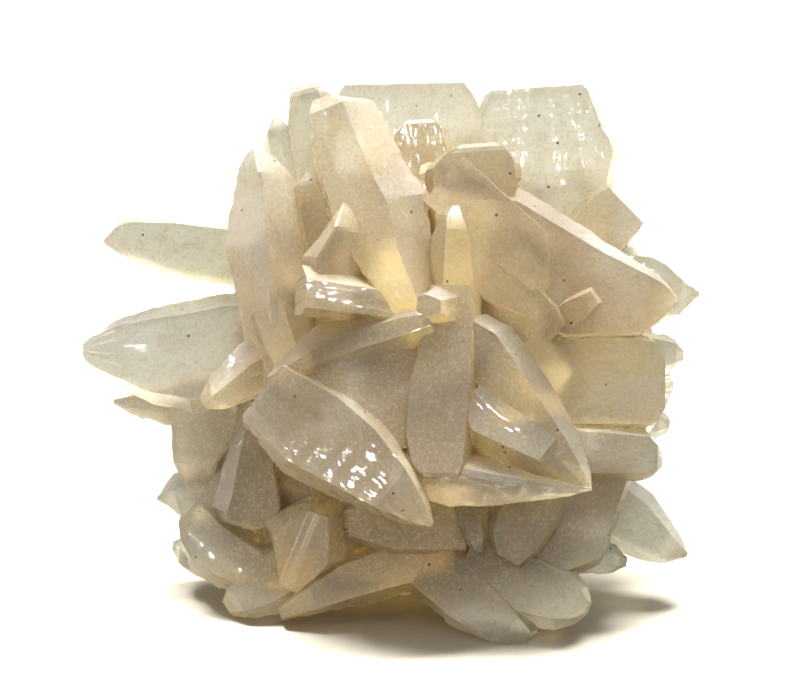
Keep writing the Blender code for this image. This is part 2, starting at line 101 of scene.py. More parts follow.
# %% The list of blades
BLADES = [
    # The upper left: two fingers, the tall blade and the speckled ones behind it.
    ("left_upper", (-20.7, 12.9, 0), (-44.5, 14.9, -2), 3.4, (0.1, 0.88), -6,
     ((0, 6.2, 4.6), (0.19, 5.9, 4.8), (0.55, 5.1, 5.1), (0.83, 2.9, 4.3), (0.92, 1.7, 3),
      (1, 0.5, 0.5))),
    ("left_lower", (-18.7, -0.7, 3), (-47.5, -1.2, 0), 3.2, (0.12, 0.86), 4,
     ((0, 6.5, 7.5), (0.22, 8.5, 8.1), (0.42, 10.3, 7.2), (0.65, 8.6, 5.9), (0.8, 6.2, 4.6),
      (0.93, 3.9, 2.6), (0.98, 2.4, 1.6), (1, 1.4, 1))),
    ("left_ledge", (-27.8, -8.4, -2), (-43.1, -9.3, -3), 2.6, (0.3, 0.7), 10,
     ((0, 5, 4), (0.5, 4.4, 2), (0.8, 2.7, 1.5), (1, 0.5, 0.5))),
    ("tall_left", (-16.9, -6.6, 10), (-21.5, 28.5, 4), 5, (0.4, 0.45), 4,
     ((0, 4, 4.6), (0.22, 5.6, 5.8), (0.42, 6, 6.8), (0.58, 6.5, 8), (0.7, 5.7, 8.2),
      (0.82, 4.6, 6.4), (0.92, 3.3, 3.8), (0.975, 2, 2), (1, 1, 1))),
    ("top_left", (-9, 12, 1), (-14.6, 38.1, -3), 4.4, (0.12, 0.8), -8,
     ((0, 4, 4.5), (0.5, 4.4, 5.4), (0.78, 3.9, 4.8), (0.92, 2.7, 4.2), (1, 1.2, 2.4))),
    ("behind_left", (-15, 22.5, -1), (-18.9, 33.2, -4), 3, (0.35, 0.6), -15,
     ((0, 4, 3), (0.57, 4.2, 3.5), (0.8, 2.8, 2.4), (0.93, 1.4, 1.8), (1, 0.7, 1.2))),
    # The top: the largest blade, the slabs behind it and the serrated block beside it.
    ("top_blade", (3.7, 1.5, 15), (-9.7, 36.1, 6), 5.5, (0.1, 0.62), -4,
     ((0, 3, 3), (0.3, 6.5, 5.5), (0.5, 8, 8), (0.6, 7.4, 6.8), (0.77, 7, 6.2),
      (0.93, 5.2, 5.3), (1, 3.6, 0.8))),
    ("top_slab", (2.3, 16, -4), (1.8, 38.1, -7.5), 4, (0.03, 0.97), 0,
     ((0, 10, 10), (0.66, 12, 12), (0.91, 11.8, 10), (0.975, 11.5, 9), (1, 10.9, 8.6))),
    ("top_right", (23.5, 7.5, -4), (21.3, 37.7, -7), 4.4, (0.05, 0.93), 3,
     ((0, 12, 9), (0.52, 12, 10.2), (0.66, 11.8, 11.6), (0.74, 11.2, 10.8), (0.85, 10.4, 9.3),
      (0.97, 9.2, 8), (1, 8.6, 7.4))),
    ("top_small", (3.7, 20.9, 4), (3, 32.5, 2), 3, (0.12, 0.88), 0,
     ((0, 5, 5), (0.6, 4.8, 4.8), (0.9, 3.8, 4), (1, 2.4, 2))),
    ("top_mid", (11.9, 8, 7), (10.4, 28.9, 6), 4.8, (0.12, 0.9), 4,
     ((0, 6, 6), (0.5, 8.4, 7.4), (0.85, 8, 7.6), (0.94, 5.5, 6.2), (1, 2, 4))),
    # The right: the long diagonal blade, the one crossing it and the pale ones behind.
    ("right_diagonal", (8.1, 18.5, 9), (41.2, 5.8, 6), 4.4, (0.16, 0.95), -8,
     ((0, 3, 6), (0.12, 6, 9.6), (0.21, 7.7, 11.4), (0.6, 5, 12.4), (0.9, 2.7, 7.4),
      (0.955, 1.7, 4.4), (1, 0.4, 0.5))),
    ("cross", (6.6, 23.6, 8.6), (24.4, 7.8, 11.3), 3.2, (0.08, 0.96), -3,
     ((0, 5, 5), (0.4, 5, 5), (0.7, 4.8, 4.9), (0.85, 1, 4.2), (0.97, -1.6, 3.2),
      (1, -2.4, 2.8))),
    ("streaked", (10.4, 13.3, 9), (23.6, 1.2, 11), 3, (0.08, 0.92), 8,
     ((0, 4, 6), (0.5, 3.6, 6), (0.85, 3.4, 5.2), (1, 2, 3.4))),
    ("nub", (19.5, 0, 6.8), (29.3, 7.1, 10.6), 4.2, (0.2, 0.8), 0,
     ((0, 3.6, 3.6), (0.7, 2.9, 3.1), (1, 1.6, 2))),
    ("right_small", (26.3, 13.2, -2), (33.4, 20.3, -3), 3.6, (0.08, 0.92), 6,
     ((0, 5, 5), (0.8, 5.1, 5.1), (1, 4.7, 4.7))),
    ("far_right", (22, 8.8, -5), (45.4, 7, -8), 3.4, (0.12, 0.85), 5,
     ((0, 6.5, 6), (0.64, 6.8, 6), (0.75, 5.4, 5.2), (0.86, 2.9, 4.4), (0.93, 1.7, 2.2),
      (1, 0.4, 0.4))),
    ("right_bit", (24, -1, -4), (42.8, -2.3, -6), 3, (0.2, 0.8), 0,
     ((0, 5, 5), (0.5, 4.5, 4.5), (0.8, 3.4, 3.2), (0.93, 2.6, 2.2), (1, 0.8, 1))),
    ("right_block", (14, -6.7, 9), (40.6, -6.7, 6), 5, (0.04, 0.88), 3,
     ((0, 7, 7), (0.4, 7.7, 7.2), (0.87, 7.6, 7.2), (1, 0.5, 0.5))),
    ("right_tuck", (21, -11.5, -4), (40.6, -12.9, -7), 3.2, (0.3, 0.7), 0,
     ((0, 5, 5), (0.7, 4, 4), (0.88, 3.5, 3), (1, 1.5, 1.2))),
    ("right_lump", (22.1, -17, 11), (38.7, -18.1, 8), 3.6, (0.2, 0.85), -5,
     ((0, 5.5, 4), (0.5, 5.5, 3.8), (0.84, 5, 3.1), (0.94, 3, 2.2), (1, 1, 1))),
    # The middle: the wedge, the upright blades and the honey-coloured ones beside them.
    ("wedge_back", (9.1, 0.7, 13), (27.7, -21.7, 19.5), 4.6, (0.22, 0.96), 10,
     ((0, 5, 3), (0.14, 6.7, 2.4), (0.45, 5.7, 3), (0.77, 4.1, 2), (0.93, 2, 1),
      (1, 0.3, 0.3))),
    ("wedge_face", (11.4, -9.1, 14), (27.7, -21.7, 19.8), 5.4, (0.05, 0.74), -12,
     ((0, 1.8, 5), (0.09, 2.6, 6.4), (0.17, 2.6, 7.6), (0.655, 2, 4), (0.9, 1, 1.4),
      (1, 0.3, 0.3))),
    ("centre_up", (7.8, -5, 12), (8.1, 19.8, 13), 4.4, (0.25, 0.78), 8,
     ((0, 4.4, 4.8), (0.3, 4.4, 4.6), (0.5, 4.6, 4.4), (0.8, 3.7, 3.1), (0.94, 2.8, 1.6),
      (1, 0.9, 0.8))),
    ("centre_down", (7.6, 7.4, 13), (6.8, -20.6, 17), 4.8, (0.14, 0.84), 6,
     ((0, 4, 4), (0.17, 4.8, 4.8), (0.33, 5.2, 5.8), (0.56, 5.2, 7.4), (0.78, 4.8, 7.6),
      (0.93, 4.2, 6.4), (1, 3, 4))),
    ("centre_lump", (7.6, 5, 14), (3.7, 5, 19.4), 3.2, (0.2, 0.7), 0,
     ((0, 3.6, 3.4), (0.5, 3.6, 3.5), (1, 1.8, 1.9))),
    ("gem_up", (-9.5, 4.4, 14.5), (-8.1, 20.1, 15.2), 4.4, (0.3, 0.36), -6,
     ((0, 4, 4), (0.46, 5.9, 3.8), (0.74, 2.8, 3.6), (0.9, 1.4, 2), (1, 0.4, 0.4))),
    ("gem_side", (4.4, 5, 13), (-14.5, 6.6, 18), 3.6, (0.1, 0.64), 10,
     ((0, 3.4, 3), (0.4, 3.6, 3.6), (0.8, 3.4, 4.4), (1, 3.2, 4.6))),
    ("spindle", (4.4, 3.2, 16.4), (-19.3, -5.6, 15.6), 3, (0.3, 0.58), 6,
     ((0, 3.4, 3.2), (0.17, 4, 5.2), (0.45, 3.6, 5.4), (0.64, 3.4, 5), (0.82, 2.6, 3),
      (1, 0.5, 0.5))),
    ("shade_shelf", (3, -9, 15.5), (-17.4, -6.6, 16), 3, (0.05, 0.95), 8,
     ((0, 8.4, 8.4), (0.35, 8, 7.4), (0.65, 5, 5.2), (1, 2.4, 1.8))),
    # The lower left and the front edge.
    ("lower_left_arm", (-14.8, 0.7, 10), (-29, -9.5, 7), 3, (0.2, 0.66), -14,
     ((0, 5, 4), (0.45, 4.6, 4.4), (0.85, 3, 3), (1, 1, 1.4))),
    ("big_lower", (-19.1, -7.6, 14), (4.6, -27, 20.5), 4.6, (0.12, 0.86), 3,
     ((0, 6, 6.5), (0.3, 8, 8.1), (0.53, 7.6, 6.3), (0.76, 5.5, 4.3), (0.93, 2.4, 2),
      (1, 0.5, 0.5))),
    ("front_spindle", (-4.4, -19.6, 17), (27.9, -21.7, 20.5), 2.8, (0.36, 0.5), -8,
     ((0, 3, 1.4), (0.14, 5.4, 2.6), (0.37, 5, 4.1), (0.57, 3.4, 3.6), (0.76, 1.7, 2.3),
      (0.92, 0.9, 1.4), (1, 0.3, 0.3))),
    ("lower_right_slab", (32, -16.4, 6), (21.4, -35.3, 10.5), 3.6, (0.13, 0.9), 0,
     ((0, 4, 3.6), (0.12, 4.4, 3.5), (0.39, 5.4, 3.2), (0.715, 6.5, 3), (0.77, 5.9, 3),
      (0.97, 1.5, 3.3), (1, 0.6, 2.6))),
    ("lower_mid", (24.5, -17, 10), (15.9, -32.7, 13), 3.4, (0.12, 0.86), 6,
     ((0, 4, 5.6), (0.5, 4.6, 6.4), (0.85, 4, 5.4), (1, 2.4, 2.4))),
    ("lower_right_tip", (21, -17.8, -2), (43, -32.2, 1), 3.4, (0.15, 0.82), 6,
     ((0, 5.5, 5), (0.38, 5.5, 5.2), (0.66, 5, 5.6), (0.84, 2.9, 4.2), (0.93, 1.7, 2.8),
      (1, 0.4, 0.5))),
    ("small_tab", (16, -30, 3), (33.8, -33.2, 3), 2.6, (0.3, 0.7), 0,
     ((0, 4, 4), (0.7, 3, 3), (0.88, 2.6, 2.5), (1, 1, 1))),
    ("foot_right", (10.4, -32.6, 8), (27.7, -39.5, 12), 4.4, (0.12, 0.8), 0,
     ((0, 6, 6), (0.5, 5.2, 6.6), (0.8, 4.6, 5.4), (0.94, 3, 3.6), (1, 1.2, 1.4))),
    ("foot_mid", (2.2, -30.5, 6), (19.4, -43.8, 11.6), 4, (0.2, 0.85), 6,
     ((0, 6, 6), (0.5, 5.4, 6.4), (0.85, 3.6, 4.8), (1, 1.6, 2.2))),
    ("foot_left", (8.2, -32.7, 6), (-17.8, -40.9, 8), 4, (0.25, 0.88), -6,
     ((0, 3.4, 5), (0.34, 2.8, 6.5), (0.6, 2.2, 6), (0.8, 1.6, 4.2), (1, 0.9, 1.4))),
    ("under_shelf", (8.9, -26.6, 8), (-8.1, -27.4, 11), 4, (0.08, 0.92), 4,
     ((0, 5.5, 5.5), (0.6, 5, 5.5), (1, 2, 2.6))),
    ("bl_drop", (-29, -8.6, -2), (-30.8, -24.2, -5), 4.2, (0.08, 0.9), 5,
     ((0, 6, 6), (0.2, 6, 6.1), (0.35, 5.2, 5.4), (0.6, 3.2, 4.4), (0.8, 2.2, 2.6),
      (1, 0.4, 0.4))),
    ("bl_pale", (-22, -20.4, -5), (-36.8, -24.1, -7), 3, (0.2, 0.7), 0,
     ((0, 6.5, 6), (0.65, 6.2, 4.4), (0.78, 4.8, 3.2), (0.87, 2.6, 2.2), (1, 0.4, 0.4))),
    ("bl_block", (-20.6, -35, 3), (-31.5, -25.2, -1), 4.7, (0.12, 0.8), 6,
     ((0, 5, 4), (0.35, 6.5, 3.2), (0.57, 6.8, 3), (0.76, 5.8, 2.9), (0.92, 3.6, 2.2),
      (1, 0.8, 1.2))),
    ("bl_low", (-14, -34, 1), (-34.1, -30.9, -4), 3.8, (0.2, 0.8), -8,
     ((0, 5, 5), (0.7, 5, 4.4), (0.88, 3.6, 2.8), (1, 0.8, 0.8))),
    ("bl_foot", (-14.9, -32.8, 4), (-25.7, -40, 4), 4, (0.2, 0.8), 8,
     ((0, 6, 5), (0.5, 5.5, 5), (0.8, 4, 3.5), (1, 1.6, 1.6))),
    ("bl_face", (-20.6, -9.4, 5), (-26.1, -26.8, 4), 3.4, (0.08, 0.76), -4,
     ((0, 4, 3.6), (0.3, 4, 2.8), (0.5, 5.4, 2.8), (0.77, 8, 2.8), (0.93, 7.2, 2.6),
      (1, 4.6, 1.4))),
    ("bl_penta", (-11, -26, -4), (-14.8, -31, 12.5), 6.6, (0.3, 0.62), 14,
     ((0, 7, 7), (0.74, 7, 7), (1, 4.8, 4.2))),
    # Short crystals that close the gaps between the long ones.
    ("fill_upper", (-10, 10, 6), (-13.5, 25, 5.5), 3.6, (0.2, 0.8), 0,
     ((0, 4, 4), (0.5, 4.4, 4), (0.85, 3.2, 3), (1, 1, 1))),
    ("fill_middle", (9, 14, 6), (3.5, 26, 5), 3.6, (0.2, 0.8), 6,
     ((0, 4, 4), (0.6, 4.4, 4.2), (0.86, 3.2, 3), (1, 1, 1.2))),
    ("fill_knee", (-19, 4, 9), (-15, -6.5, 13.5), 3.4, (0.2, 0.75), 8,
     ((0, 4, 4), (0.5, 4, 4.2), (0.86, 3, 3.2), (1, 1.2, 1.2))),
    ("fill_dark", (9, -21, 9), (12, -31.5, 12.5), 3, (0.2, 0.7), 10,
     ((0, 3, 3), (0.5, 3.2, 3), (0.85, 2.4, 2), (1, 0.8, 0.8))),
    # Behind the slabs of the top edge.
    ("back_tall_left", (-4, 4, -7), (-9, 33, -17), 4.2, (0.15, 0.6), 14,
     ((0, 5, 5), (0.5, 7.4, 6.6), (0.78, 6.4, 5.4), (0.93, 3.4, 3), (1, 1.2, 1))),
    ("back_tall_mid", (10, 4, -8), (11, 34, -20), 4.6, (0.35, 0.8), -10,
     ((0, 6, 6), (0.5, 7.6, 8), (0.74, 7, 7), (0.91, 3.6, 4.4), (1, 1, 1.4))),
    ("back_tall_right", (22, 3, -8), (29, 27, -16), 4, (0.2, 0.7), 18,
     ((0, 6, 6), (0.45, 6.6, 6), (0.76, 5.8, 4.6), (0.92, 3, 2.4), (1, 1, 0.8))),
    ("back_tall_far", (8, 2, -10), (-2, 18, -29), 4.8, (0.2, 0.62), 24,
     ((0, 6, 6), (0.5, 7, 8), (0.75, 6, 6.6), (0.92, 3, 3.4), (1, 1, 1))),
    # Two that point down and away: the cluster rests on them as well as on its front.
    ("back_foot_left", (0, -12, -10), (-13, -32.4, -28.5), 5, (0.25, 0.7), 10,
     ((0, 6, 6), (0.5, 7.5, 7), (0.78, 6.4, 5.8), (0.93, 4.2, 3.8), (1, 2.4, 2)),
     (-0.3, -0.3, -1)),
    ("back_foot_right", (8, -12, -10), (19, -32, -29), 5.4, (0.2, 0.6), -12,
     ((0, 6, 6), (0.5, 6.6, 7.6), (0.76, 6, 6.4), (0.92, 3.8, 4.4), (1, 2, 2.4)),
     (0.3, -0.3, -1)),
]
print(len(BLADES), "blades on the display side")

# %% [markdown]
# ### Tones
#
# No two crystals have quite the same colour. The thin ones at the rim are a pale greenish
# white, the broad ones in front have a breath of lilac, and those in the hollows are honey
# coloured. The rest are plain cream. A tone is three numbers, one for each of these.

# %% The blades' tones
PALE_BLADES = {"left_upper": 1.0, "left_lower": 1.0, "top_slab": 0.9, "top_right": 1.0,
               "behind_left": 0.7, "far_right": 0.9, "right_bit": 0.9, "right_tuck": 0.8,
               "lower_right_tip": 1.0, "bl_pale": 0.8, "top_left": 0.6, "left_ledge": 0.3,
               "top_blade": 0.2, "tall_left": 0.3, "right_block": 0.5}
LILAC_BLADES = {"tall_left": 0.7, "top_blade": 0.5, "right_diagonal": 0.8, "cross": 1.0,
                "right_small": 0.4, "centre_down": 0.4, "centre_up": 0.5, "big_lower": 0.3,
                "front_spindle": 0.9, "foot_left": 0.5, "foot_mid": 0.7, "foot_right": 0.5,
                "right_lump": 0.7, "centre_lump": 0.8, "lower_right_tip": 0.2, "bl_low": 0.4}
HONEY_BLADES = {"gem_up": 0.88, "gem_side": 1.0, "spindle": 0.5, "shade_shelf": 1.0,
                "right_block": 0.1, "streaked": 0.8, "top_small": 0.7, "top_mid": 0.4,
                "fill_middle": 0.8, "fill_upper": 0.3, "fill_knee": 0.3, "fill_dark": 1.0,
                "nub": 0.7, "under_shelf": 0.8, "bl_penta": 0.5, "bl_block": 0.3,
                "bl_face": 0.5, "bl_drop": 0.4, "lower_left_arm": 0.4, "wedge_face": 0.3,
                "left_ledge": 1.0, "big_lower": 0.85, "centre_down": 0.6, "top_blade": 0.35,
                "foot_left": 0.85, "tall_left": 0.1, "foot_mid": 0.2}


def tone_of(name):
    """How pale, how lilac and how honey coloured a blade is."""
    return [tones.get(name, 0.0) for tones in (PALE_BLADES, LILAC_BLADES, HONEY_BLADES)]


print("the largest blade's tone:", tone_of("big_lower"))

# %% [markdown]
# ## Noise to grow with
#
# Crystal faces are flat, but never blank: they carry swells, ledges and bands up to a few
# tenths of a millimetre high, and their edges are notched. All of these come from one kind
# of smooth noise. Random heights sit at whole numbers, and between them a curve that starts
# and ends level blends them.

# %% Smooth noise
NOISE_SIZE = 64


def noise(x, y, seed):
    """Blends a seeded table of random numbers: level at each whole x and y, 0 to 1."""
    table = np.random.default_rng(seed).random((NOISE_SIZE, NOISE_SIZE))
    left, low = np.floor(x).astype(int), np.floor(y).astype(int)
    across, up = x - left, y - low
    across, up = across * across * (3 - 2 * across), up * up * (3 - 2 * up)
    near, far = left % NOISE_SIZE, (left + 1) % NOISE_SIZE
    under, over = low % NOISE_SIZE, (low + 1) % NOISE_SIZE
    bottom = table[near, under] * (1 - across) + table[far, under] * across
    top = table[near, over] * (1 - across) + table[far, over] * across
    return bottom * (1 - up) + top * up


def steps(height, sharpness):
    """Turns a slope into stairs: level treads, with risers 1 / sharpness of a tread wide."""
    tread = np.floor(height)
    return tread + np.clip((height - tread - 1) * sharpness + 1, 0, 1)


print("a step half way up:", steps(np.array([0.2, 0.95, 1.2]), 4.0))

# %% [markdown]
# ## The outline and the section of a blade
#
# Across its length a blade has six corners: two sharp edges, and a broad face in front and
# behind, each with a bevel down to either edge. Lengthways it follows its outline, widening
# from the root and closing to a blunt point. So a blade is a profile carried along a path,
# and a point on it is found from two numbers: how far along, and how far round.

# %% Outline and section
CORNER_ROUNDING = 0.006
FULL_SHARE = 0.6
SIDES = 6


def half_widths(outline, along):
    """The outline's half widths, averaged over a short window that rounds its corners."""
    stops, left, right = np.array(outline, float).T
    window = np.clip(along + CORNER_ROUNDING * np.linspace(-1, 1, 7)[:, None], 0, 1)
    return np.interp(window, stops, left).mean(0), np.interp(window, stops, right).mean(0)


def corners_of(left, right, thick, crest):
    """The six corners of each section: full thickness, until the blade grows narrow."""
    width = left + right
    height = thick * np.minimum(1, width / (FULL_SHARE * width.max()))
    first = -left + crest[0] * width
    second = -left + crest[1] * width
    flat = np.zeros_like(left)
    across = np.stack([-left, first, second, right, second, first], axis=1)
    out = np.stack([flat, height, height, flat, -height, -height], axis=1)
    return across, out


def way_round(across, out, spacing):
    """For each point round a section: the corner it follows, and how far it is past it."""
    widest = np.argmax(across[:, 3] - across[:, 0])
    run = np.roll(across[widest], -1) - across[widest]
    rise = np.roll(out[widest], -1) - out[widest]
    counts = np.maximum(2, np.round(np.hypot(run, rise) / spacing)).astype(int)
    corner = np.repeat(np.arange(SIDES), counts)
    start = np.repeat(np.cumsum(counts) - counts, counts)
    return corner, (np.arange(counts.sum()) - start) / counts[corner]


sample = np.linspace(0, 1, 5)
print("half widths of the first blade:", half_widths(BLADES[0][6], sample)[0].round(2))

# %% [markdown]
# ## What growth leaves on a face
#
# Three things break up the faces. They swell and sink by a few hundredths of a millimetre.
# Ledges run lengthways, where a layer stopped short of the edge, and bands run across, where
# growth paused. Both follow the rows and columns of the grid, so they come out crisp.
# Notches bite into the two edges, each with one long and one short side, and between them
# the edge has crumbled a little. A displacement texture could push these out afterwards, but
# it knows nothing of a blade's edges, so they are part of the formula.

# %% Swells and ledges
SWELL_LENGTH, SWELL_WIDTH, SWELL_HEIGHT = 13.0, 7.0, 0.05
SWELL_MIDDLE = 0.6
LEDGE_COUNT, LEDGE_HEIGHT = 2.6, 0.11
LEDGE_LENGTH, LEDGE_LANES, LEDGE_SHARPNESS = 26.0, 7.0, 6.0


def swells(across, along, seed):
    """The slow rise and fall of a face."""
    return SWELL_HEIGHT * (noise(across / SWELL_WIDTH, along / SWELL_LENGTH, seed) - SWELL_MIDDLE)


def ledges(column, along, seed):
    """Stairs across the columns: whole runs of them lie one layer lower than the rest."""
    slope = noise(column * LEDGE_LANES, along / LEDGE_LENGTH, seed)
    return -LEDGE_HEIGHT * steps(slope * LEDGE_COUNT, LEDGE_SHARPNESS)


print("a swell in mm:", swells(np.arange(3.0), np.arange(3.0), 1).round(3))

# %% Bands and notches
BAND_LENGTH, BAND_HEIGHT = 3.4, 0.03
NOTCH_LENGTH = 4.4
CRUMBLE_LENGTH, CRUMBLE_DEPTH = 0.9, 0.3


def wander(along, length, lane, seed):
    """Noise that changes along a line only; each lane is a line of its own."""
    return noise(along / length, np.full_like(along, lane), seed)


def bands(along, seed):
    """Saw teeth along the blade, of uneven length, that come and go."""
    warped = along / BAND_LENGTH + 1.7 * wander(along, 4.1, 2.5, seed)
    there = np.clip(4 * wander(along, 6.3, 5.5, seed) - 1.6, 0, 1)
    return -BAND_HEIGHT * (warped - np.floor(warped)) * there


def notches(along, depth, seed):
    """How far an edge is bitten in: saw teeth that come and go, over a fine crumble."""
    warped = along / NOTCH_LENGTH + 2.6 * wander(along, 3.1, 0.5, seed)
    large = warped - np.floor(warped)
    there = np.clip(6 * wander(along, 3.7, 7.5, seed) - 3.2, 0, 1)
    small = wander(along, CRUMBLE_LENGTH, 3.5, seed + 1)
    return depth * large * there + CRUMBLE_DEPTH * small


# Most blades have shallow notches, and these have ragged edges.
NOTCH_DEPTH = 0.32
RAGGED = {"top_right": 1.0, "top_mid": 0.95, "top_slab": 0.5, "left_upper": 0.55,
          "left_lower": 0.6, "left_ledge": 0.9, "behind_left": 0.9, "top_left": 0.6,
          "far_right": 0.9, "right_bit": 0.9, "right_small": 0.6, "right_tuck": 0.8,
          "right_lump": 0.7, "bl_pale": 0.9, "bl_drop": 0.7, "bl_block": 0.6,
          "front_spindle": 0.3, "spindle": 0.5, "wedge_face": 0.2, "wedge_back": 0.3}
print("notches in mm:", notches(np.arange(4.0), NOTCH_DEPTH, 1).round(2))

# %% [markdown]
# ## One blade
#
# The grid of a blade is made in one go. Its rows run along the blade and its columns go
# round it, and both ends shrink to a point so that the skin is closed. Each point also keeps
# where it is on its own blade, for the finish to use: across, along, and a number that is
# the blade's own.

# %% The blade's surface
CAP_ROWS = 3


def seed_of(name):
    """A whole number that belongs to a name."""
    return sum(ord(letter) * (i + 3) for i, letter in enumerate(name))


def axes_of(root, tip, roll, facing):
    """A blade's root, its length, and its three directions: along it, across it, out of it."""
    root, tip = np.array(root, float), np.array(tip, float)
    length = np.linalg.norm(tip - root)
    axis = (tip - root) / length
    side = np.cross(axis, facing)
    side /= np.linalg.norm(side)
    face = np.cross(side, axis)
    turn = math.radians(roll)
    turned_side = side * math.cos(turn) + np.cross(axis, side) * math.sin(turn)
    turned_face = face * math.cos(turn) + np.cross(axis, face) * math.sin(turn)
    return root, length, axis, turned_side, turned_face


def blade(name, root, tip, thick, crest, roll, outline, facing=(0, 0, 1), spacing=0.64):
    """Points of one blade, and each point's place on it.

    A point is root + axis * along + side * across + face * out. Across and out come from
    the section's corners, blended by how far round the point is, with the relief added.
    """
    seed = seed_of(name)
    root, length, axis, side, face = axes_of(root, tip, roll, facing)
    rows = np.linspace(0, 1, max(6, int(length / spacing)))
    across_at, out_at = corners_of(*half_widths(outline, rows), thick, crest)
    corner, past = way_round(across_at, out_at, spacing)
    after = (corner + 1) % SIDES
    across = across_at[:, corner] * (1 - past) + across_at[:, after] * past
    out = out_at[:, corner] * (1 - past) + out_at[:, after] * past
    along = np.repeat(rows[:, None] * length, across.shape[1], axis=1)

    share = np.abs(out) / np.abs(out_at).max(axis=1, keepdims=True)
    other_face = 100 * (out < 0)
    column = np.linspace(0, 1, across.shape[1])[None, :] + 0 * across
    relief = swells(across + other_face, along, seed) * share
    relief += (ledges(column, along, seed + 1) + bands(along + other_face, seed + 2)) * share
    middle = (across_at[:, [0]] + across_at[:, [3]]) / 2
    edge = (across - middle) / ((across_at[:, [3]] - across_at[:, [0]]) / 2)
    bite = notches(along + 50 * (edge > 0), RAGGED.get(name, NOTCH_DEPTH), seed + 3)
    out = out + np.sign(out) * relief
    across = across - np.sign(edge) * np.abs(edge) ** 5 * bite

    points = root + along[..., None] * axis + across[..., None] * side + out[..., None] * face
    own = np.full_like(across, (seed % 97) / 97)
    return points, np.stack([across, along, own], axis=-1), tone_of(name)


def closed_mesh(name, points, place, tone):
    """A mesh from a grid whose columns go round: both ends run in to a middle point."""
    inwards = 1 - np.arange(1, CAP_ROWS) / CAP_ROWS

    def cap(ring):
        middle = ring.mean(axis=0)
        return middle + (ring - middle) * inwards[:, None, None], middle

    (first, start), (last, stop) = cap(points[0]), cap(points[-1])
    grid = np.concatenate([first[::-1], points, last])
    (first_place, start_place), (last_place, stop_place) = cap(place[0]), cap(place[-1])
    places = np.concatenate([first_place[::-1], place, last_place])
    rows, ring = grid.shape[:2]
    vertices = np.concatenate([grid.reshape(-1, 3), [start], [stop]])
    places = np.concatenate([places.reshape(-1, 3), [start_place], [stop_place]])

    here = np.arange(rows * ring).reshape(rows, ring)
    beside = np.roll(here, -1, axis=1)
    quads = np.stack([here[:-1], beside[:-1], beside[1:], here[1:]], axis=-1).reshape(-1, 4)
    south = np.stack([here[0], np.full(ring, rows * ring), beside[0]], axis=-1)
    north = np.stack([here[-1], beside[-1], np.full(ring, rows * ring + 1)], axis=-1)
    kept = {"place": places, "tone": np.tile(np.array(tone, float), (len(places), 1))}
    return mesh_from(name, to_world(vertices), quads, np.concatenate([south, north]), kept)


def mesh_from(name, vertices, quads, triangles, kept):
    """Fills a Blender mesh from arrays, and keeps named numbers on its corners."""
    corners = np.concatenate([quads.ravel(), triangles.ravel()])
    starts = np.concatenate([np.arange(len(quads)) * 4,
                             len(quads) * 4 + np.arange(len(triangles)) * 3])
    mesh = bpy.data.meshes.new(name)
    mesh.vertices.add(len(vertices))
    mesh.vertices.foreach_set("co", vertices.astype(np.float32).ravel())
    mesh.loops.add(len(corners))
    mesh.loops.foreach_set("vertex_index", corners.astype(np.int32))
    mesh.polygons.add(len(starts))
    mesh.polygons.foreach_set("loop_start", starts.astype(np.int32))
    mesh.update(calc_edges=True)
    for key, values in kept.items():
        held = mesh.attributes.new(key, "FLOAT_VECTOR", "CORNER")
        held.data.foreach_set("vector", values[corners].astype(np.float32).ravel())
    return mesh


meshes = [closed_mesh(row[0], *blade(*row)) for row in BLADES]
print("display side:", sum(len(mesh.polygons) for mesh in meshes), "faces")

# %% [markdown]
# ## The side turned away
#
# Behind, the blades stand out of the middle like the spines of a chestnut, only blunter.
# Nobody placed them one by one: directions are spread evenly over half a ball with the golden
# angle, and each blade leans its own way from its direction. The random draws come in the
# same order as in the solid, so that both have the same blades.

# %% Blades spread over the back
BACK_SEED = 5
BACK_COUNT = 30
BACK_CENTRE = np.array([3.0, -2.0, -5.0])
BACK_LEFT, BACK_RIGHT, BACK_UP, BACK_AWAY = 29.0, 34.0, 31.0, 24.0
BACK_STEEP = 0.62
BACK_SPACING = 0.9
GOLDEN_ANGLE = math.pi * (3.0 - math.sqrt(5.0))


def back_outline(half, skew, shoulder):
    """Half widths along a back blade: full to its shoulder, then a blunt point."""
    return (
        (0, half * 0.8, half * 0.8),
        (0.45, half * (1.0 + skew), half * (1.0 - skew)),
        (shoulder, half * (0.9 + skew), half * (0.85 - skew)),
        (0.91, half * 0.5, half * (0.42 - skew * 0.5)),
        (1, half * 0.2, half * 0.16),
    )


def back_blades():
    """A row for each blade behind: its tip lies on an egg shape, its root inside it."""
    draw = random.Random(BACK_SEED).uniform
    rows = []
    for i in range(BACK_COUNT):
        out = -(i + 0.3) / BACK_COUNT
        ring = math.sqrt(1.0 - out * out)
        angle = i * GOLDEN_ANGLE
        way = np.array([ring * math.cos(angle), ring * math.sin(angle), out])
        sideways = BACK_RIGHT if way[0] > 0 else BACK_LEFT
        reach = way * (sideways, BACK_UP, BACK_AWAY)
        along = np.cross(way, [draw(-1, 1) for _ in range(3)])
        along /= np.linalg.norm(along)
        if (along[0] * way[0] + along[1] * way[1]) * ring > 0.2:
            along = -along
        axis = way * BACK_STEEP + along * (1.0 - BACK_STEEP)
        axis /= np.linalg.norm(axis)
        length = draw(20.0, 29.0)
        tip = BACK_CENTRE + reach * draw(0.93, 1.06)
        half = draw(5.0, 8.6)
        skew = draw(-0.25, 0.25)
        outline = back_outline(half, skew, draw(0.68, 0.78))
        low = draw(0.1, 0.4)
        crest = (low, low + draw(0.08, 0.5))
        thick = half * draw(0.42, 0.62)
        rows.append(("back_%02d" % i, tip - axis * length, tip, thick, crest,
                     draw(-25.0, 25.0), outline, way))
    return rows


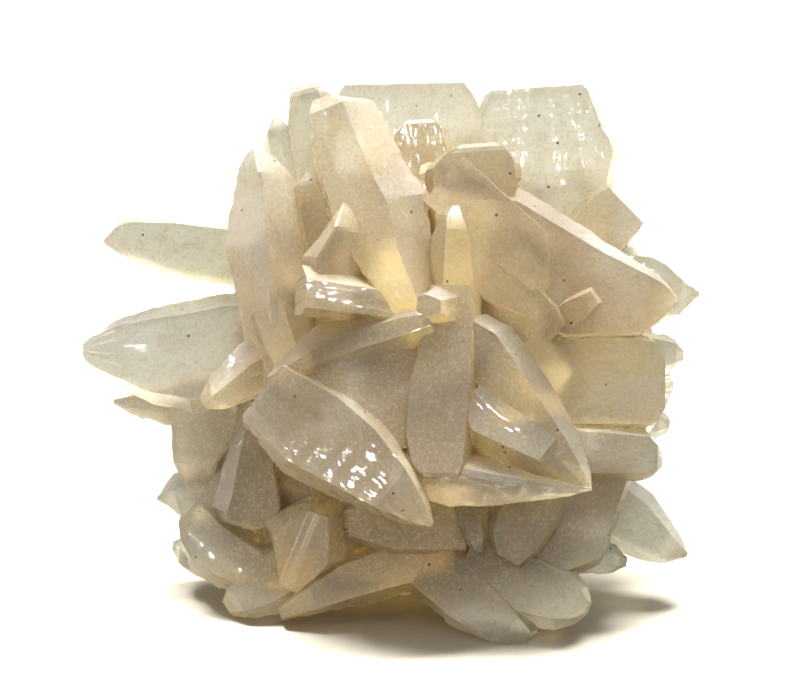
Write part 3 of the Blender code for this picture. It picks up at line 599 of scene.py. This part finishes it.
back_rows = back_blades()
meshes += [closed_mesh(row[0], *blade(*row, spacing=BACK_SPACING)) for row in back_rows]
print("back:", len(back_rows), "blades")

# %% [markdown]
# ## The massive middle
#
# Where the blades are too crowded to keep their shape, the mineral is one mass. Little of it
# shows, and only at the bottom of the gaps. Four lumps make it up. Each is an egg shape with
# flat facets: seen from its middle, a ray stops at the nearest of its facets, and that one
# sentence is the whole formula.

# %% Faceted lumps
LUMPS = [
    ("lump_main", (1, 1, -4), (27, 27), 17.5, 14, 64),
    ("lump_low", (-2, -24, -4), (27, 16), 13, 11, 44),
    ("lump_back", (4, -15, -12), (19, 14), 8, 9, 36),
    ("lump_upper", (13, 12, -7), (19, 15), 5.5, 7, 30),
]
LUMP_SPACING = 1.4


def lump(name, centre, sides, near, far, facets):
    """Points of a lump: centre + direction * (distance to the nearest facet's plane)."""
    draw = np.random.default_rng(seed_of(name))
    out = 1.0 - 2.0 * (np.arange(facets) + 0.5) / facets
    angle = np.arange(facets) * GOLDEN_ANGLE
    ring = np.sqrt(1.0 - out * out)
    normals = np.stack([ring * np.cos(angle), ring * np.sin(angle), out], axis=-1)
    planes = draw.uniform(0.84, 0.96, facets)

    rows = max(8, int(math.pi * max(sides) / LUMP_SPACING / 2))
    down = np.linspace(math.pi, 0, rows + 2)[1:-1, None]
    around = np.linspace(0, 2 * math.pi, 2 * rows, endpoint=False)[None, :]
    ways = np.stack([np.sin(down) * np.cos(around), np.sin(down) * np.sin(around),
                     np.cos(down) + 0 * around], axis=-1)
    reach = planes / np.maximum(ways @ normals.T, 1e-3)
    ways = ways * reach.min(axis=-1, keepdims=True)
    depth = np.where(ways[..., 2] > 0, near, far)
    points = centre + ways * np.stack([sides[0] + 0 * depth, sides[1] + 0 * depth, depth], -1)
    own = np.full(points.shape[:2], 0.5)
    return points, np.stack([points[..., 0], points[..., 1], own], axis=-1), (0.0, 0.0, 0.6)


meshes += [closed_mesh(row[0], *lump(*row)) for row in LUMPS]
print("middle:", len(LUMPS), "lumps")

# %% [markdown]
# ## Growing together
#
# Joining the blades is what makes them one specimen. Laying the closed skins over each other
# would look nearly the same from outside, but light inside the stone would meet walls that
# the real one doesn't have. A Boolean union takes them out. Its Manifold solver joins all the
# blades at once and keeps each corner's place. A level cut under the cluster then gives it
# the flats that it rests on.

# %% One closed skin
PIECE = "witherite_crystals"
GROUND = 0.2
SHARP_ANGLE = 13.0


def scene_object(name, mesh, collection):
    """A new object for a mesh, in the given collection."""
    made = bpy.data.objects.new(name, mesh)
    collection.objects.link(made)
    return made


def boolean(target, operation, collection):
    """One Boolean of the target with everything in the collection."""
    change = target.modifiers.new(operation, "BOOLEAN")
    change.operation = operation
    change.solver = "MANIFOLD"
    change.operand_type = "COLLECTION"
    change.collection = collection


def slab_mesh(size, thickness):
    """A box under the ground plane, as a grid of two square rings and its two ends."""
    corner = size / 2 * np.array([[-1, -1], [1, -1], [1, 1], [-1, 1]])
    rings = [np.column_stack([corner, np.full(4, height)]) for height in (-thickness, 0)]
    here = np.arange(4)
    beside = (here + 1) % 4
    sides = np.stack([here, beside, beside + 4, here + 4], axis=-1)
    quads = np.concatenate([sides, [[3, 2, 1, 0]], [[4, 5, 6, 7]]])
    no_triangles = np.zeros((0, 3), int)
    kept = {"place": np.zeros((8, 3)), "tone": np.zeros((8, 3))}
    return mesh_from("slab", np.concatenate(rings), quads, no_triangles, kept)


room = bpy.context.scene.collection
growth = bpy.data.collections.new("growth")
below = bpy.data.collections.new("below")
room.children.link(growth)
room.children.link(below)
seed_crystal = scene_object(meshes[0].name, meshes[0], room)
for mesh in meshes[1:]:
    scene_object(mesh.name, mesh, growth)
scene_object("slab", slab_mesh(GROUND, GROUND / 2), below)
boolean(seed_crystal, "UNION", growth)
boolean(seed_crystal, "DIFFERENCE", below)
bpy.context.view_layer.update()
graph = bpy.context.evaluated_depsgraph_get()
joined = seed_crystal.evaluated_get(graph)
skin = bpy.data.meshes.new_from_object(joined, preserve_all_data_layers=True, depsgraph=graph)
for helper in [*growth.objects, *below.objects, seed_crystal]:
    bpy.data.objects.remove(helper)
for collection in (growth, below):
    bpy.data.collections.remove(collection)
skin.name = PIECE
print("joined:", len(skin.vertices), "corners,", [a.name for a in skin.attributes])

# %% [markdown]
# A join of so many blades can leave a crumb: a sliver of no thickness that touches nothing.
# Each corner takes the lowest number among its neighbours, again and again, until every part
# has one number of its own. Only the largest part is kept.

# %% Crumbs swept away
def parts_of(mesh):
    """One number for each vertex, the same for all that are connected by edges."""
    ends = np.empty(2 * len(mesh.edges), np.int32)
    mesh.edges.foreach_get("vertices", ends)
    first, second = ends.reshape(-1, 2).T
    part = np.arange(len(mesh.vertices))
    while True:
        lower = part.copy()
        least = np.minimum(part[first], part[second])
        np.minimum.at(lower, first, least)
        np.minimum.at(lower, second, least)
        lower = lower[lower]
        if (lower == part).all():
            return part
        part = lower


part = parts_of(skin)
crumbs = np.flatnonzero(part != np.bincount(part).argmax())
body = bmesh.new()
body.from_mesh(skin)
body.verts.ensure_lookup_table()
bmesh.ops.delete(body, geom=[body.verts[i] for i in crumbs], context="VERTS")
body.to_mesh(skin)
body.free()
skin.shade_smooth()
skin.set_sharp_from_angle(angle=math.radians(SHARP_ANGLE))
crystals = scene_object(PIECE, skin, room)
skin.calc_loop_triangles()
print("swept away:", len(crumbs), "corners; left:", len(skin.loop_triangles), "triangles")

# %% [markdown]
# ## How deep each point lies
#
# The stone is nearly white at its thin, free edges, and honey brown down in the gaps, where
# light reaches it only through other crystals and where iron stain collects. The finish paints
# both into the colour, besides the stain: a painted glow on the thin edges and painted shade
# in the gaps. So it has to know how much stone there is round each point. The whole cluster
# is counted into small cubes of space, and the cubes are blurred: at a flat face half of the
# neighbourhood is stone, at a thin edge much less, in a crevice much more. Ambient occlusion
# in the shader would show the same, but slowly, and not outside this renderer.

# %% Stone counted in cubes
PITCH = 0.8
BOX_LOW = np.array([-56.0, -54.0, -40.0])
BOX_HIGH = np.array([56.0, 50.0, 34.0])


def inside_blade(points, row):
    """True where a point lies inside a blade's plain form, without its relief."""
    _, root, tip, thick, crest, roll, outline = row[:7]
    facing = row[7] if len(row) > 7 else (0, 0, 1)
    root, length, axis, side, face = axes_of(root, tip, roll, facing)
    offset = points - root
    along = offset @ axis / length
    across = offset @ side
    out = np.abs(offset @ face)
    stops, lefts, rights = np.array(outline, float).T
    left, right = np.interp(along, stops, lefts), np.interp(along, stops, rights)
    width = np.maximum(left + right, 1e-6)
    full = FULL_SHARE * (lefts + rights).max()
    height = thick * np.minimum(1, width / full)
    share = (across + left) / width
    rise = np.minimum(share / crest[0], (1 - share) / (1 - crest[1]))
    within = (along > 0) & (along < 1) & (share > 0) & (share < 1)
    return within & (out < height * np.minimum(rise, 1))


def inside_lump(points, row):
    """True where a point lies inside the egg shape of a lump."""
    _, centre, sides, near, far, _ = row
    offset = points - np.array(centre, float)
    depth = np.where(offset[..., 2] > 0, near, far)
    return (offset[..., 0] / sides[0]) ** 2 + (offset[..., 1] / sides[1]) ** 2 \
        + (offset[..., 2] / depth) ** 2 < 0.88


def count_stone():
    """A grid of cubes: 1 where its middle is in any blade or lump, 0 where it is in none."""
    spans = [np.arange(low, high, PITCH) for low, high in zip(BOX_LOW, BOX_HIGH)]
    middles = np.stack(np.meshgrid(*spans, indexing="ij"), axis=-1)
    stone = np.zeros(middles.shape[:3], bool)
    for row in BLADES + back_rows:
        reach = max(left + right for _, left, right in row[6]) + row[3]
        low = np.minimum(row[1], row[2]) - reach
        high = np.maximum(row[1], row[2]) + reach
        first = np.clip((low - BOX_LOW) / PITCH, 0, None).astype(int)
        last = np.ceil((high - BOX_LOW) / PITCH).astype(int)
        part = tuple(slice(a, b) for a, b in zip(first, last))
        stone[part] |= inside_blade(middles[part], row)
    for row in LUMPS:
        stone |= inside_lump(middles, row)
    return stone.astype(float)


def blurred(grid, radius):
    """The grid averaged over a soft ball: a Gaussian, multiplied in as frequencies."""
    waves = [np.fft.fftfreq(count, PITCH) for count in grid.shape[:2]]
    waves.append(np.fft.rfftfreq(grid.shape[2], PITCH))
    across, up, out = np.meshgrid(*waves, indexing="ij", sparse=True)
    fade = np.exp(-2 * (math.pi * radius) ** 2 * (across**2 + up**2 + out**2))
    return np.fft.irfftn(np.fft.rfftn(grid) * fade, s=grid.shape)


def sampled(grid, points):
    """The grid's value at each point, blended from the eight cubes round it."""
    place = (points - BOX_LOW) / PITCH
    low = np.clip(np.floor(place).astype(int), 0, np.array(grid.shape) - 2)
    past = place - low
    total = 0
    for corner in np.ndindex(2, 2, 2):
        share = np.prod(np.where(corner, past, 1 - past), axis=-1)
        total = total + share * grid[tuple((low + corner).T)]
    return total


def to_display(points):
    """Turns metres back into (across, up, out) in millimetres."""
    across, back, height = np.moveaxis(points / MM - DISPLAY_CENTRE, -1, 0)
    up = back * math.sin(LEAN) + height * math.cos(LEAN)
    out = -back * math.cos(LEAN) + height * math.sin(LEAN)
    return np.stack([across, up, out], axis=-1)


def point_value(mesh, name, values):
    """Keeps a number on each of the mesh's points, for the finish to read."""
    held = mesh.attributes.new(name, "FLOAT", "POINT")
    held.data.foreach_set("value", values.astype(np.float32))


stone = count_stone()
vertices = np.empty(len(skin.vertices) * 3, np.float32)
skin.vertices.foreach_get("co", vertices)
here = to_display(vertices.reshape(-1, 3).astype(float))
near_stone = sampled(blurred(stone, 2.2), here)
far_stone = sampled(blurred(stone, 7.0), here)
point_value(skin, "near_stone", near_stone)
point_value(skin, "far_stone", far_stone)
print("stone:", round(stone.sum() * PITCH**3 / 1000), "cubic centimetres; near",
      np.percentile(near_stone, [5, 50, 95]).round(2), "far",
      np.percentile(far_stone, [5, 50, 95]).round(2))

# %% [markdown]
# The broad clouds in the stone are worked out here as well. They don't mind where one blade
# ends, so they come from where a point lies in space. A noise node could draw them, but the
# renderer would work them out again at every bounce of every ray.

# %% Broad clouds
def cloud(points, size, seed, octaves):
    """Noise in space: the mean of three flat noises, with ever finer and fainter copies."""
    total = 0.0
    for octave in range(octaves):
        finer = 2.0**octave
        x, y, z = (points * finer / size).T
        flat = noise(x, y, seed) + noise(y, z, seed + 1) + noise(z, x, seed + 2)
        total = total + flat / 3 / finer
        seed += 3
    return total / (2 - 2.0 ** (1 - octaves))


drifts = np.stack([cloud(here, 11.0, 101, 2), cloud(here, 7.0, 202, 4),
                   cloud(here, 9.0, 303, 3)], axis=-1)
held = skin.attributes.new("drifts", "FLOAT_VECTOR", "POINT")
held.data.foreach_set("vector", drifts.astype(np.float32).ravel())
print("drifts:", np.percentile(drifts, [5, 50, 95], axis=0).round(2).tolist())

# %% [markdown]
# ## The finish
#
# Witherite is glassy to resinous. A broken edge is clear, a whole crystal is milky, and light
# that has gone far through it comes out the colour of honey. One Principled shader does all
# of that. Most of the light passes through, blurred by a frosted boundary and coloured by
# absorption on its way. The rest is turned back at the surface in the stone's own colour. A
# thin smooth coat then gives the faces their polish. Scattering under the surface was the
# other choice, but it turns thin crystals into soap, and it takes far longer to work out.

# %% Helpers for nodes
def set_socket(tree, socket, value):
    """Links a socket to another one, or gives it a plain value."""
    if isinstance(value, bpy.types.NodeSocket):
        tree.links.new(value, socket)
    else:
        socket.default_value = value


def add(tree, kind, settings=None, **inputs):
    """A new node with its settings and its inputs; a space in an input's name is a _."""
    made = tree.nodes.new("ShaderNode" + kind)
    for key, value in (settings or {}).items():
        setattr(made, key, value)
    for key, value in inputs.items():
        set_socket(tree, made.inputs[key.replace("_", " ")], value)
    return made


def maths(tree, operation, first, second=0.0, third=0.0):
    """One sum on numbers, kept between 0 and 1."""
    made = add(tree, "Math", {"operation": operation, "use_clamp": True})
    for socket, value in zip(made.inputs, (first, second, third)):
        set_socket(tree, socket, value)
    return made.outputs[0]


def remap(tree, value, low, high, start=0.0, end=1.0):
    """Takes low to start and high to end, easing in and out, and stops there."""
    made = add(tree, "MapRange", {"interpolation_type": "SMOOTHSTEP"}, Value=value,
               From_Min=low, From_Max=high, To_Min=start, To_Max=end)
    return made.outputs[0]


def blend(tree, share, first, second):
    """Mixes two colours."""
    made = add(tree, "Mix", {"data_type": "RGBA"})
    for socket, value in zip((made.inputs[0], made.inputs[6], made.inputs[7]),
                             (share, first, second)):
        set_socket(tree, socket, value)
    return made.outputs[2]


def noise_of(tree, vector, scale, detail=2.0, stretch=(1, 1, 1), distortion=0.0):
    """Noise whose pattern is stretched by scaling its coordinates."""
    mapping = add(tree, "Mapping", Vector=vector, Scale=stretch)
    made = add(tree, "TexNoise", Vector=mapping.outputs[0], Scale=scale, Detail=detail,
               Distortion=distortion)
    return made.outputs[0]


print("node helpers ready")

# %% [markdown]
# ### Colour
#
# The numbers kept on the skin come in here. Each blade brings its own tone. The stone round
# each point paints light and shade into the colour: paler where the crystal is thin, a painted
# glow of light coming through, warmer and darker where crystals crowd in, and darker towards
# the bottom, both painted shade. Clouds drift through the whole mass without minding where one
# blade ends, as they do in the mineral. A few iron stains, painted shade in the creases and
# dark grains come last.

# %% The stone's colours
CREAM = (0.66, 0.575, 0.41, 1.0)
PALE = (0.95, 0.945, 0.82, 1.0)
LILAC = (0.76, 0.64, 0.52, 1.0)
HONEY = (0.60, 0.44, 0.20, 1.0)
# The colour of the painted shade towards the bottom.
BOTTOM_SHADE = (0.34, 0.27, 0.17, 1.0)
STAIN = (0.55, 0.24, 0.05, 1.0)
GRAIN = (0.05, 0.035, 0.02, 1.0)
# A dark brown for the painted shade in the creases.
CREASE_SHADE = (0.14, 0.085, 0.035, 1.0)
ROSE = (0.72, 0.55, 0.46, 1.0)
OLIVE = (0.60, 0.56, 0.33, 1.0)
# Heights in metres where the painted shade at the bottom begins and where it is full.
BOTTOM_SHADE_TOP, BOTTOM_SHADE_FULL = 0.044, 0.010

stone_look = bpy.data.materials.new("witherite_stone")
stone_look.use_nodes = True
tree = stone_look.node_tree
tree.nodes.clear()
place = add(tree, "Attribute", {"attribute_name": "place"}).outputs["Vector"]
tone = add(tree, "Attribute", {"attribute_name": "tone"}).outputs["Vector"]
near = add(tree, "Attribute", {"attribute_name": "near_stone"}).outputs["Fac"]
far = add(tree, "Attribute", {"attribute_name": "far_stone"}).outputs["Fac"]
coordinates = add(tree, "TexCoord").outputs["Object"]
height = add(tree, "SeparateXYZ", Vector=coordinates).outputs["Z"]
pale_tone, lilac_tone, honey_tone = add(tree, "SeparateXYZ", Vector=tone).outputs

drifts = add(tree, "Attribute", {"attribute_name": "drifts"}).outputs["Vector"]
clouds, veils, stains = add(tree, "SeparateXYZ", Vector=drifts).outputs
mottles = noise_of(tree, coordinates, 260.0, 2.0, (1, 1, 1), 0.8)
fine_mottles = noise_of(tree, coordinates, 2100.0, 3.0)
crowded = remap(tree, near, 0.52, 0.88)
deep = remap(tree, far, 0.50, 0.88)
thin = remap(tree, far, 0.46, 0.14)
# Honey from the blade's own tone, plus painted shade: warmer and darker where the stone lies deep
# in the cluster or crowded, as in its gaps.
honey_and_crevice_shade = maths(tree, "MULTIPLY_ADD", deep, 0.5, maths(tree, "MULTIPLY", crowded, 0.35))
honey_and_crevice_shade = maths(tree, "MULTIPLY_ADD", honey_tone, 0.6, honey_and_crevice_shade)
honey_and_crevice_shade = maths(tree, "MULTIPLY", honey_and_crevice_shade, remap(tree, clouds, 0.3, 0.7, 0.7, 1.25))
# Painted shade: the colour darkens towards the bottom, where less light falls, and less so where
# the stone is thin.
bottom_shade = maths(tree, "MULTIPLY", remap(tree, height, BOTTOM_SHADE_TOP, BOTTOM_SHADE_FULL, 0.0, 0.75),
              remap(tree, thin, 0.0, 0.8, 1.0, 0.1))
stone_colour = blend(tree, lilac_tone, CREAM, LILAC)
# Pale where the blade's own tone is pale, and painted light where the stone is thin: a painted
# glow of the light that comes through thin edges.
stone_colour = blend(tree, maths(tree, "MAXIMUM", thin, pale_tone), stone_colour, PALE)
stone_colour = blend(tree, honey_and_crevice_shade, stone_colour, HONEY)
stone_colour = blend(tree, bottom_shade, stone_colour, BOTTOM_SHADE)
print("colour:", len(tree.nodes), "nodes so far")

# %% [markdown]
# Inside a blade the growth was never even. Patches lean towards rose or olive, milky clouds
# hang in the clear parts, and healed cracks show as thin pale lines. A healed crack is drawn
# where a stretched noise crosses its middle value, which makes a long and wandering line.

# %% Mottles, clouds and healed cracks
def contour(tree, value, middle, half_width):
    """1 where a value is at its middle, falling to 0 at half a width to either side."""
    below = maths(tree, "SUBTRACT", middle, value)
    above = maths(tree, "SUBTRACT", value, middle)
    return remap(tree, maths(tree, "ADD", below, above), half_width, 0.0)


stone_colour = blend(tree, remap(tree, mottles, 0.52, 0.70, 0.0, 0.45), stone_colour, ROSE)
stone_colour = blend(tree, remap(tree, mottles, 0.48, 0.30, 0.0, 0.45), stone_colour, OLIVE)
milky = remap(tree, veils, 0.54, 0.72)
stone_colour = blend(tree, maths(tree, "MULTIPLY", milky, 0.5), stone_colour, PALE)
stone_colour = blend(tree, remap(tree, fine_mottles, 0.48, 0.70, 0.0, 0.5), stone_colour, PALE)
stone_colour = blend(tree, remap(tree, fine_mottles, 0.52, 0.30, 0.0, 0.5), stone_colour, HONEY)
cracks = noise_of(tree, place, 1.0, 1.0, (0.42, 0.13, 17.0), 0.7)
healed = contour(tree, cracks, 0.52, 0.010)
stone_colour = blend(tree, maths(tree, "MULTIPLY", healed, 0.35), stone_colour, PALE)
print("clouds and cracks:", len(tree.nodes), "nodes so far")

# %% Stains, painted crease shade and grains
GRAIN_SPACING = 0.0040
GRAIN_RADIUS = 0.00030

stained = maths(tree, "MULTIPLY", remap(tree, stains, 0.60, 0.70), crowded)
stone_colour = blend(tree, maths(tree, "MULTIPLY", stained, 0.7), stone_colour, STAIN)
# Painted shade: patches in the tightest creases between crystals darken towards dark brown and
# let less light through.
crease_mask = remap(tree, near, 0.68, 0.84)
crease_shade = maths(tree, "MULTIPLY", crease_mask, remap(tree, stains, 0.40, 0.54))
stone_colour = blend(tree, maths(tree, "MULTIPLY", crease_shade, 0.7), stone_colour, CREASE_SHADE)
scattered = add(tree, "TexVoronoi", Vector=coordinates, Scale=1.0 / GRAIN_SPACING)
radius = GRAIN_RADIUS / GRAIN_SPACING
grains = remap(tree, scattered.outputs["Distance"], radius, radius * 0.6)
stone_colour = blend(tree, maths(tree, "MULTIPLY", grains, 0.9), stone_colour, GRAIN)
print("stains, dirt and grains:", len(tree.nodes), "nodes so far")

# %% [markdown]
# ### Relief and shader
#
# What is left for the bump is finer than the mesh can hold: faint lines along the blade, a
# hundredth of a millimetre deep. More would turn glass into felt. The polish isn't even
# either. It has worn to dashes that follow the blade, and the frosted stone between them
# gives no sharp reflection. Milky and honey coloured stone lets less through, and so does
# stone under the painted shade at the bottom and in the creases.

# %% Relief and shader
RELIEF_DEPTH = 0.00001
STONE_IOR = 1.53
THROUGH = (0.94, 0.89, 0.72, 1.0)
THROUGH_DENSITY = 80.0
WORN_LEAST = 0.02

along_lines = noise_of(tree, place, 1.0, 2.0, (1.5, 0.25, 97.0))
bump = add(tree, "Bump", Strength=1.0, Distance=RELIEF_DEPTH, Height=along_lines)
dashes = noise_of(tree, place, 1.0, 1.0, (2.2, 0.55, 71.0))
patches = maths(tree, "MAXIMUM", remap(tree, clouds, 0.47, 0.55),
                remap(tree, honey_tone, 0.90, 1.0))
worn = maths(tree, "MULTIPLY", remap(tree, dashes, 0.575, 0.605), patches)
worn = maths(tree, "ADD", worn, WORN_LEAST)
frost = remap(tree, fine_mottles, 0.35, 0.65, 0.43, 0.63)
clear = remap(tree, clouds, 0.35, 0.65, 0.95, 0.78)
clear = maths(tree, "MULTIPLY", clear, remap(tree, bottom_shade, 0.0, 0.75, 1.0, 0.7))
clear = maths(tree, "MULTIPLY", clear, remap(tree, milky, 0.0, 1.0, 1.0, 0.75))
clear = maths(tree, "MULTIPLY", clear, remap(tree, deep, 0.3, 1.0, 1.0, 0.85))
clear = maths(tree, "MULTIPLY", clear, remap(tree, honey_tone, 0.2, 1.0, 1.0, 0.75))
clear = maths(tree, "MULTIPLY", clear, remap(tree, crease_shade, 0.0, 1.0, 1.0, 0.5))
clear = maths(tree, "MULTIPLY", clear, remap(tree, grains, 0.0, 1.0, 1.0, 0.0))

shader = add(tree, "BsdfPrincipled", Base_Color=stone_colour, Roughness=frost, IOR=STONE_IOR,
             Normal=bump.outputs[0], Transmission_Weight=clear, Coat_Weight=worn,
             Coat_Normal=bump.outputs[0])
shader.inputs["Specular IOR Level"].default_value = 0.35
shader.inputs["Coat Roughness"].default_value = 0.06
shader.inputs["Coat IOR"].default_value = STONE_IOR
inside = add(tree, "VolumeAbsorption", Color=THROUGH, Density=THROUGH_DENSITY)
add(tree, "OutputMaterial", Surface=shader.outputs[0], Volume=inside.outputs[0])
skin.materials.clear()
skin.materials.append(stone_look)
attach(crystals, "root")
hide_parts(CLUSTER)
print("finish:", len(tree.nodes), "nodes")

# %% [markdown]
# ## Room, light and camera
#
# The specimen stands on plain pale paper, in a white room that is dimmer in front than
# behind. Two softboxes hang over it and a little behind. One lights only the stone, so that
# its top glows and light comes through its thin blades. The other lights only the paper, and
# so strongly that the paper turns white up to the edge of the shadow. One lamp for both
# would wash out the stone. The paper is a warm grey, which shows only in the shadow.
#
# The camera looks straight at the display face from well away, through a long lens, so that
# the near blades don't grow larger than they are.

# %% The floor
FLOOR_HALF = 3.0
PAPER = (0.36, 0.33, 0.275, 1.0)


def flat_mesh(name, corners):
    """One four-cornered sheet."""
    return mesh_from(name, np.array(corners, float), np.array([[0, 1, 2, 3]]),
                     np.zeros((0, 3), int), {})


floor_corners = [(-FLOOR_HALF, -FLOOR_HALF, 0), (FLOOR_HALF, -FLOOR_HALF, 0),
                 (FLOOR_HALF, FLOOR_HALF, 0), (-FLOOR_HALF, FLOOR_HALF, 0)]
floor = scene_object("floor", flat_mesh("floor", floor_corners), room)
paper = bpy.data.materials.new("white_paper")
paper.use_nodes = True
paper_shader = paper.node_tree.nodes["Principled BSDF"]
paper_shader.inputs["Base Color"].default_value = PAPER
paper_shader.inputs["Roughness"].default_value = 1.0
paper_shader.inputs["Specular IOR Level"].default_value = 0.0
floor.data.materials.append(paper)
# The bright paper stays out of the stone, but for its mirror image.
floor.visible_diffuse = False
floor.visible_transmission = False
print("floor:", 2 * FLOOR_HALF, "m wide")

# %% The camera
VIEW_DISTANCE = 0.7
VIEW_WIDTH = 0.12

middle = Vector(DISPLAY_CENTRE * MM)
lens = bpy.data.cameras.new("camera")
lens.sensor_width = 36.0
lens.lens = lens.sensor_width * VIEW_DISTANCE / VIEW_WIDTH
lens.clip_start = 0.01
camera = scene_object("camera", lens, room)
towards = Vector((0.0, -math.cos(LEAN), math.sin(LEAN)))
camera.location = middle + VIEW_DISTANCE * towards
camera.rotation_euler = (-towards).to_track_quat("-Z", "Y").to_euler()
bpy.context.scene.camera = camera
bpy.context.scene.view_settings.view_transform = "Standard"
print("lens:", lens.lens, "mm")

# %% The room and its lamps
ROOM_FRONT = 0.31
ROOM_BACK = 0.95
ROOM_BELOW = 0.3


def softbox(name, where, aim, size, power):
    """A rectangular lamp at a place in metres, turned to face its aim."""
    lamp = bpy.data.lights.new(name, "AREA")
    lamp.shape = "RECTANGLE"
    lamp.size, lamp.size_y = size
    lamp.energy = power
    made = scene_object(name, lamp, room)
    made.location = where
    made.rotation_euler = (Vector(aim) - Vector(where)).to_track_quat("-Z", "Y").to_euler()
    return made


stone_lamp = softbox("stone_lamp", (0.15, 0.35, 1.0), middle, (0.8, 0.8), 46.0)
paper_lamp = softbox("paper_lamp", (-0.07, 0.28, 1.0), middle, (1.0, 0.35), 135.0)
paper_lamp.visible_transmission = False
paper_lamp.visible_glossy = False
for lamp, receiver in ((stone_lamp, crystals), (paper_lamp, floor)):
    lit = bpy.data.collections.new(lamp.name + "_lights")
    lit.objects.link(receiver)
    lamp.light_linking.receiver_collection = lit
world = bpy.data.worlds.new("studio")
world.use_nodes = True
room_tree = world.node_tree
way_out = add(room_tree, "SeparateXYZ", Vector=add(room_tree, "TexCoord").outputs["Generated"])
# This sum runs from -1.4 to 1.4, so it isn't kept between 0 and 1 as the others are.
behind_and_above = add(room_tree, "Math", {"operation": "ADD"})
set_socket(room_tree, behind_and_above.inputs[0], way_out.outputs["Y"])
set_socket(room_tree, behind_and_above.inputs[1], way_out.outputs["Z"])
dim = remap(room_tree, behind_and_above.outputs[0], -0.6, 1.0, ROOM_FRONT, ROOM_BACK)
set_socket(room_tree, room_tree.nodes["Background"].inputs["Color"], (1, 1, 1, 1))
low_down = remap(room_tree, way_out.outputs["Z"], -0.1, -0.6, 1.0, ROOM_BELOW)
dim = maths(room_tree, "MULTIPLY", dim, low_down)
set_socket(room_tree, room_tree.nodes["Background"].inputs["Strength"], dim)
bpy.context.scene.world = world
print("room:", ROOM_FRONT, "in front,", ROOM_BACK, "behind")

# %% [markdown]
# ### Glints
#
# A polished face flashes only where it mirrors a lamp, so each glint needs its own lamp in
# just the right place. A ray from the camera finds the face at a point of the display side,
# and its mirror direction says where a small lamp has to hang. These lamps are seen only by
# reflections: they light nothing else.

# %% Lamps for the glints
GLINT_DISTANCE = 0.8
GLINT_RADIANCE = 130.0
LOWEST_LAMP = 0.02
# Across and up on the display face in millimetres, and the lamp's width in metres.
GLINTS = [
    (-12.0, 7.5, 0.035), (-25.4, -3.2, 0.13), (15.3, -18.8, 0.05), (19.2, -15.0, 0.04),
    (-10.0, -20.4, 0.016), (3.8, 30.0, 0.012), (-13.2, -2.7, 0.02), (24.0, 27.5, 0.02),
    (40.8, 8.5, 0.03), (-35.3, -6.0, 0.01),
]


def mirror_way(across, up):
    """The face that the camera sees at a point, and where it mirrors the camera to."""
    view = (Vector(to_world(np.array([across, up, 0.0]))) - camera.location).normalized()
    found, place_hit, normal, _ = crystals.ray_cast(camera.location, view)
    return found, place_hit, view.reflect(normal)


for across, up, width in GLINTS:
    found, spot, way = mirror_way(across, up)
    where = spot + GLINT_DISTANCE * way
    if found and where.z > LOWEST_LAMP:
        power = GLINT_RADIANCE * math.pi * width**2
        lamp = softbox(f"glint_{across:.0f}_{up:.0f}", where, spot, (width, width), power)
        lamp.visible_diffuse = False
        lamp.visible_transmission = False
        lamp.visible_volume_scatter = False
    print("glint at", across, up, "lamp at", [round(x, 2) for x in where])
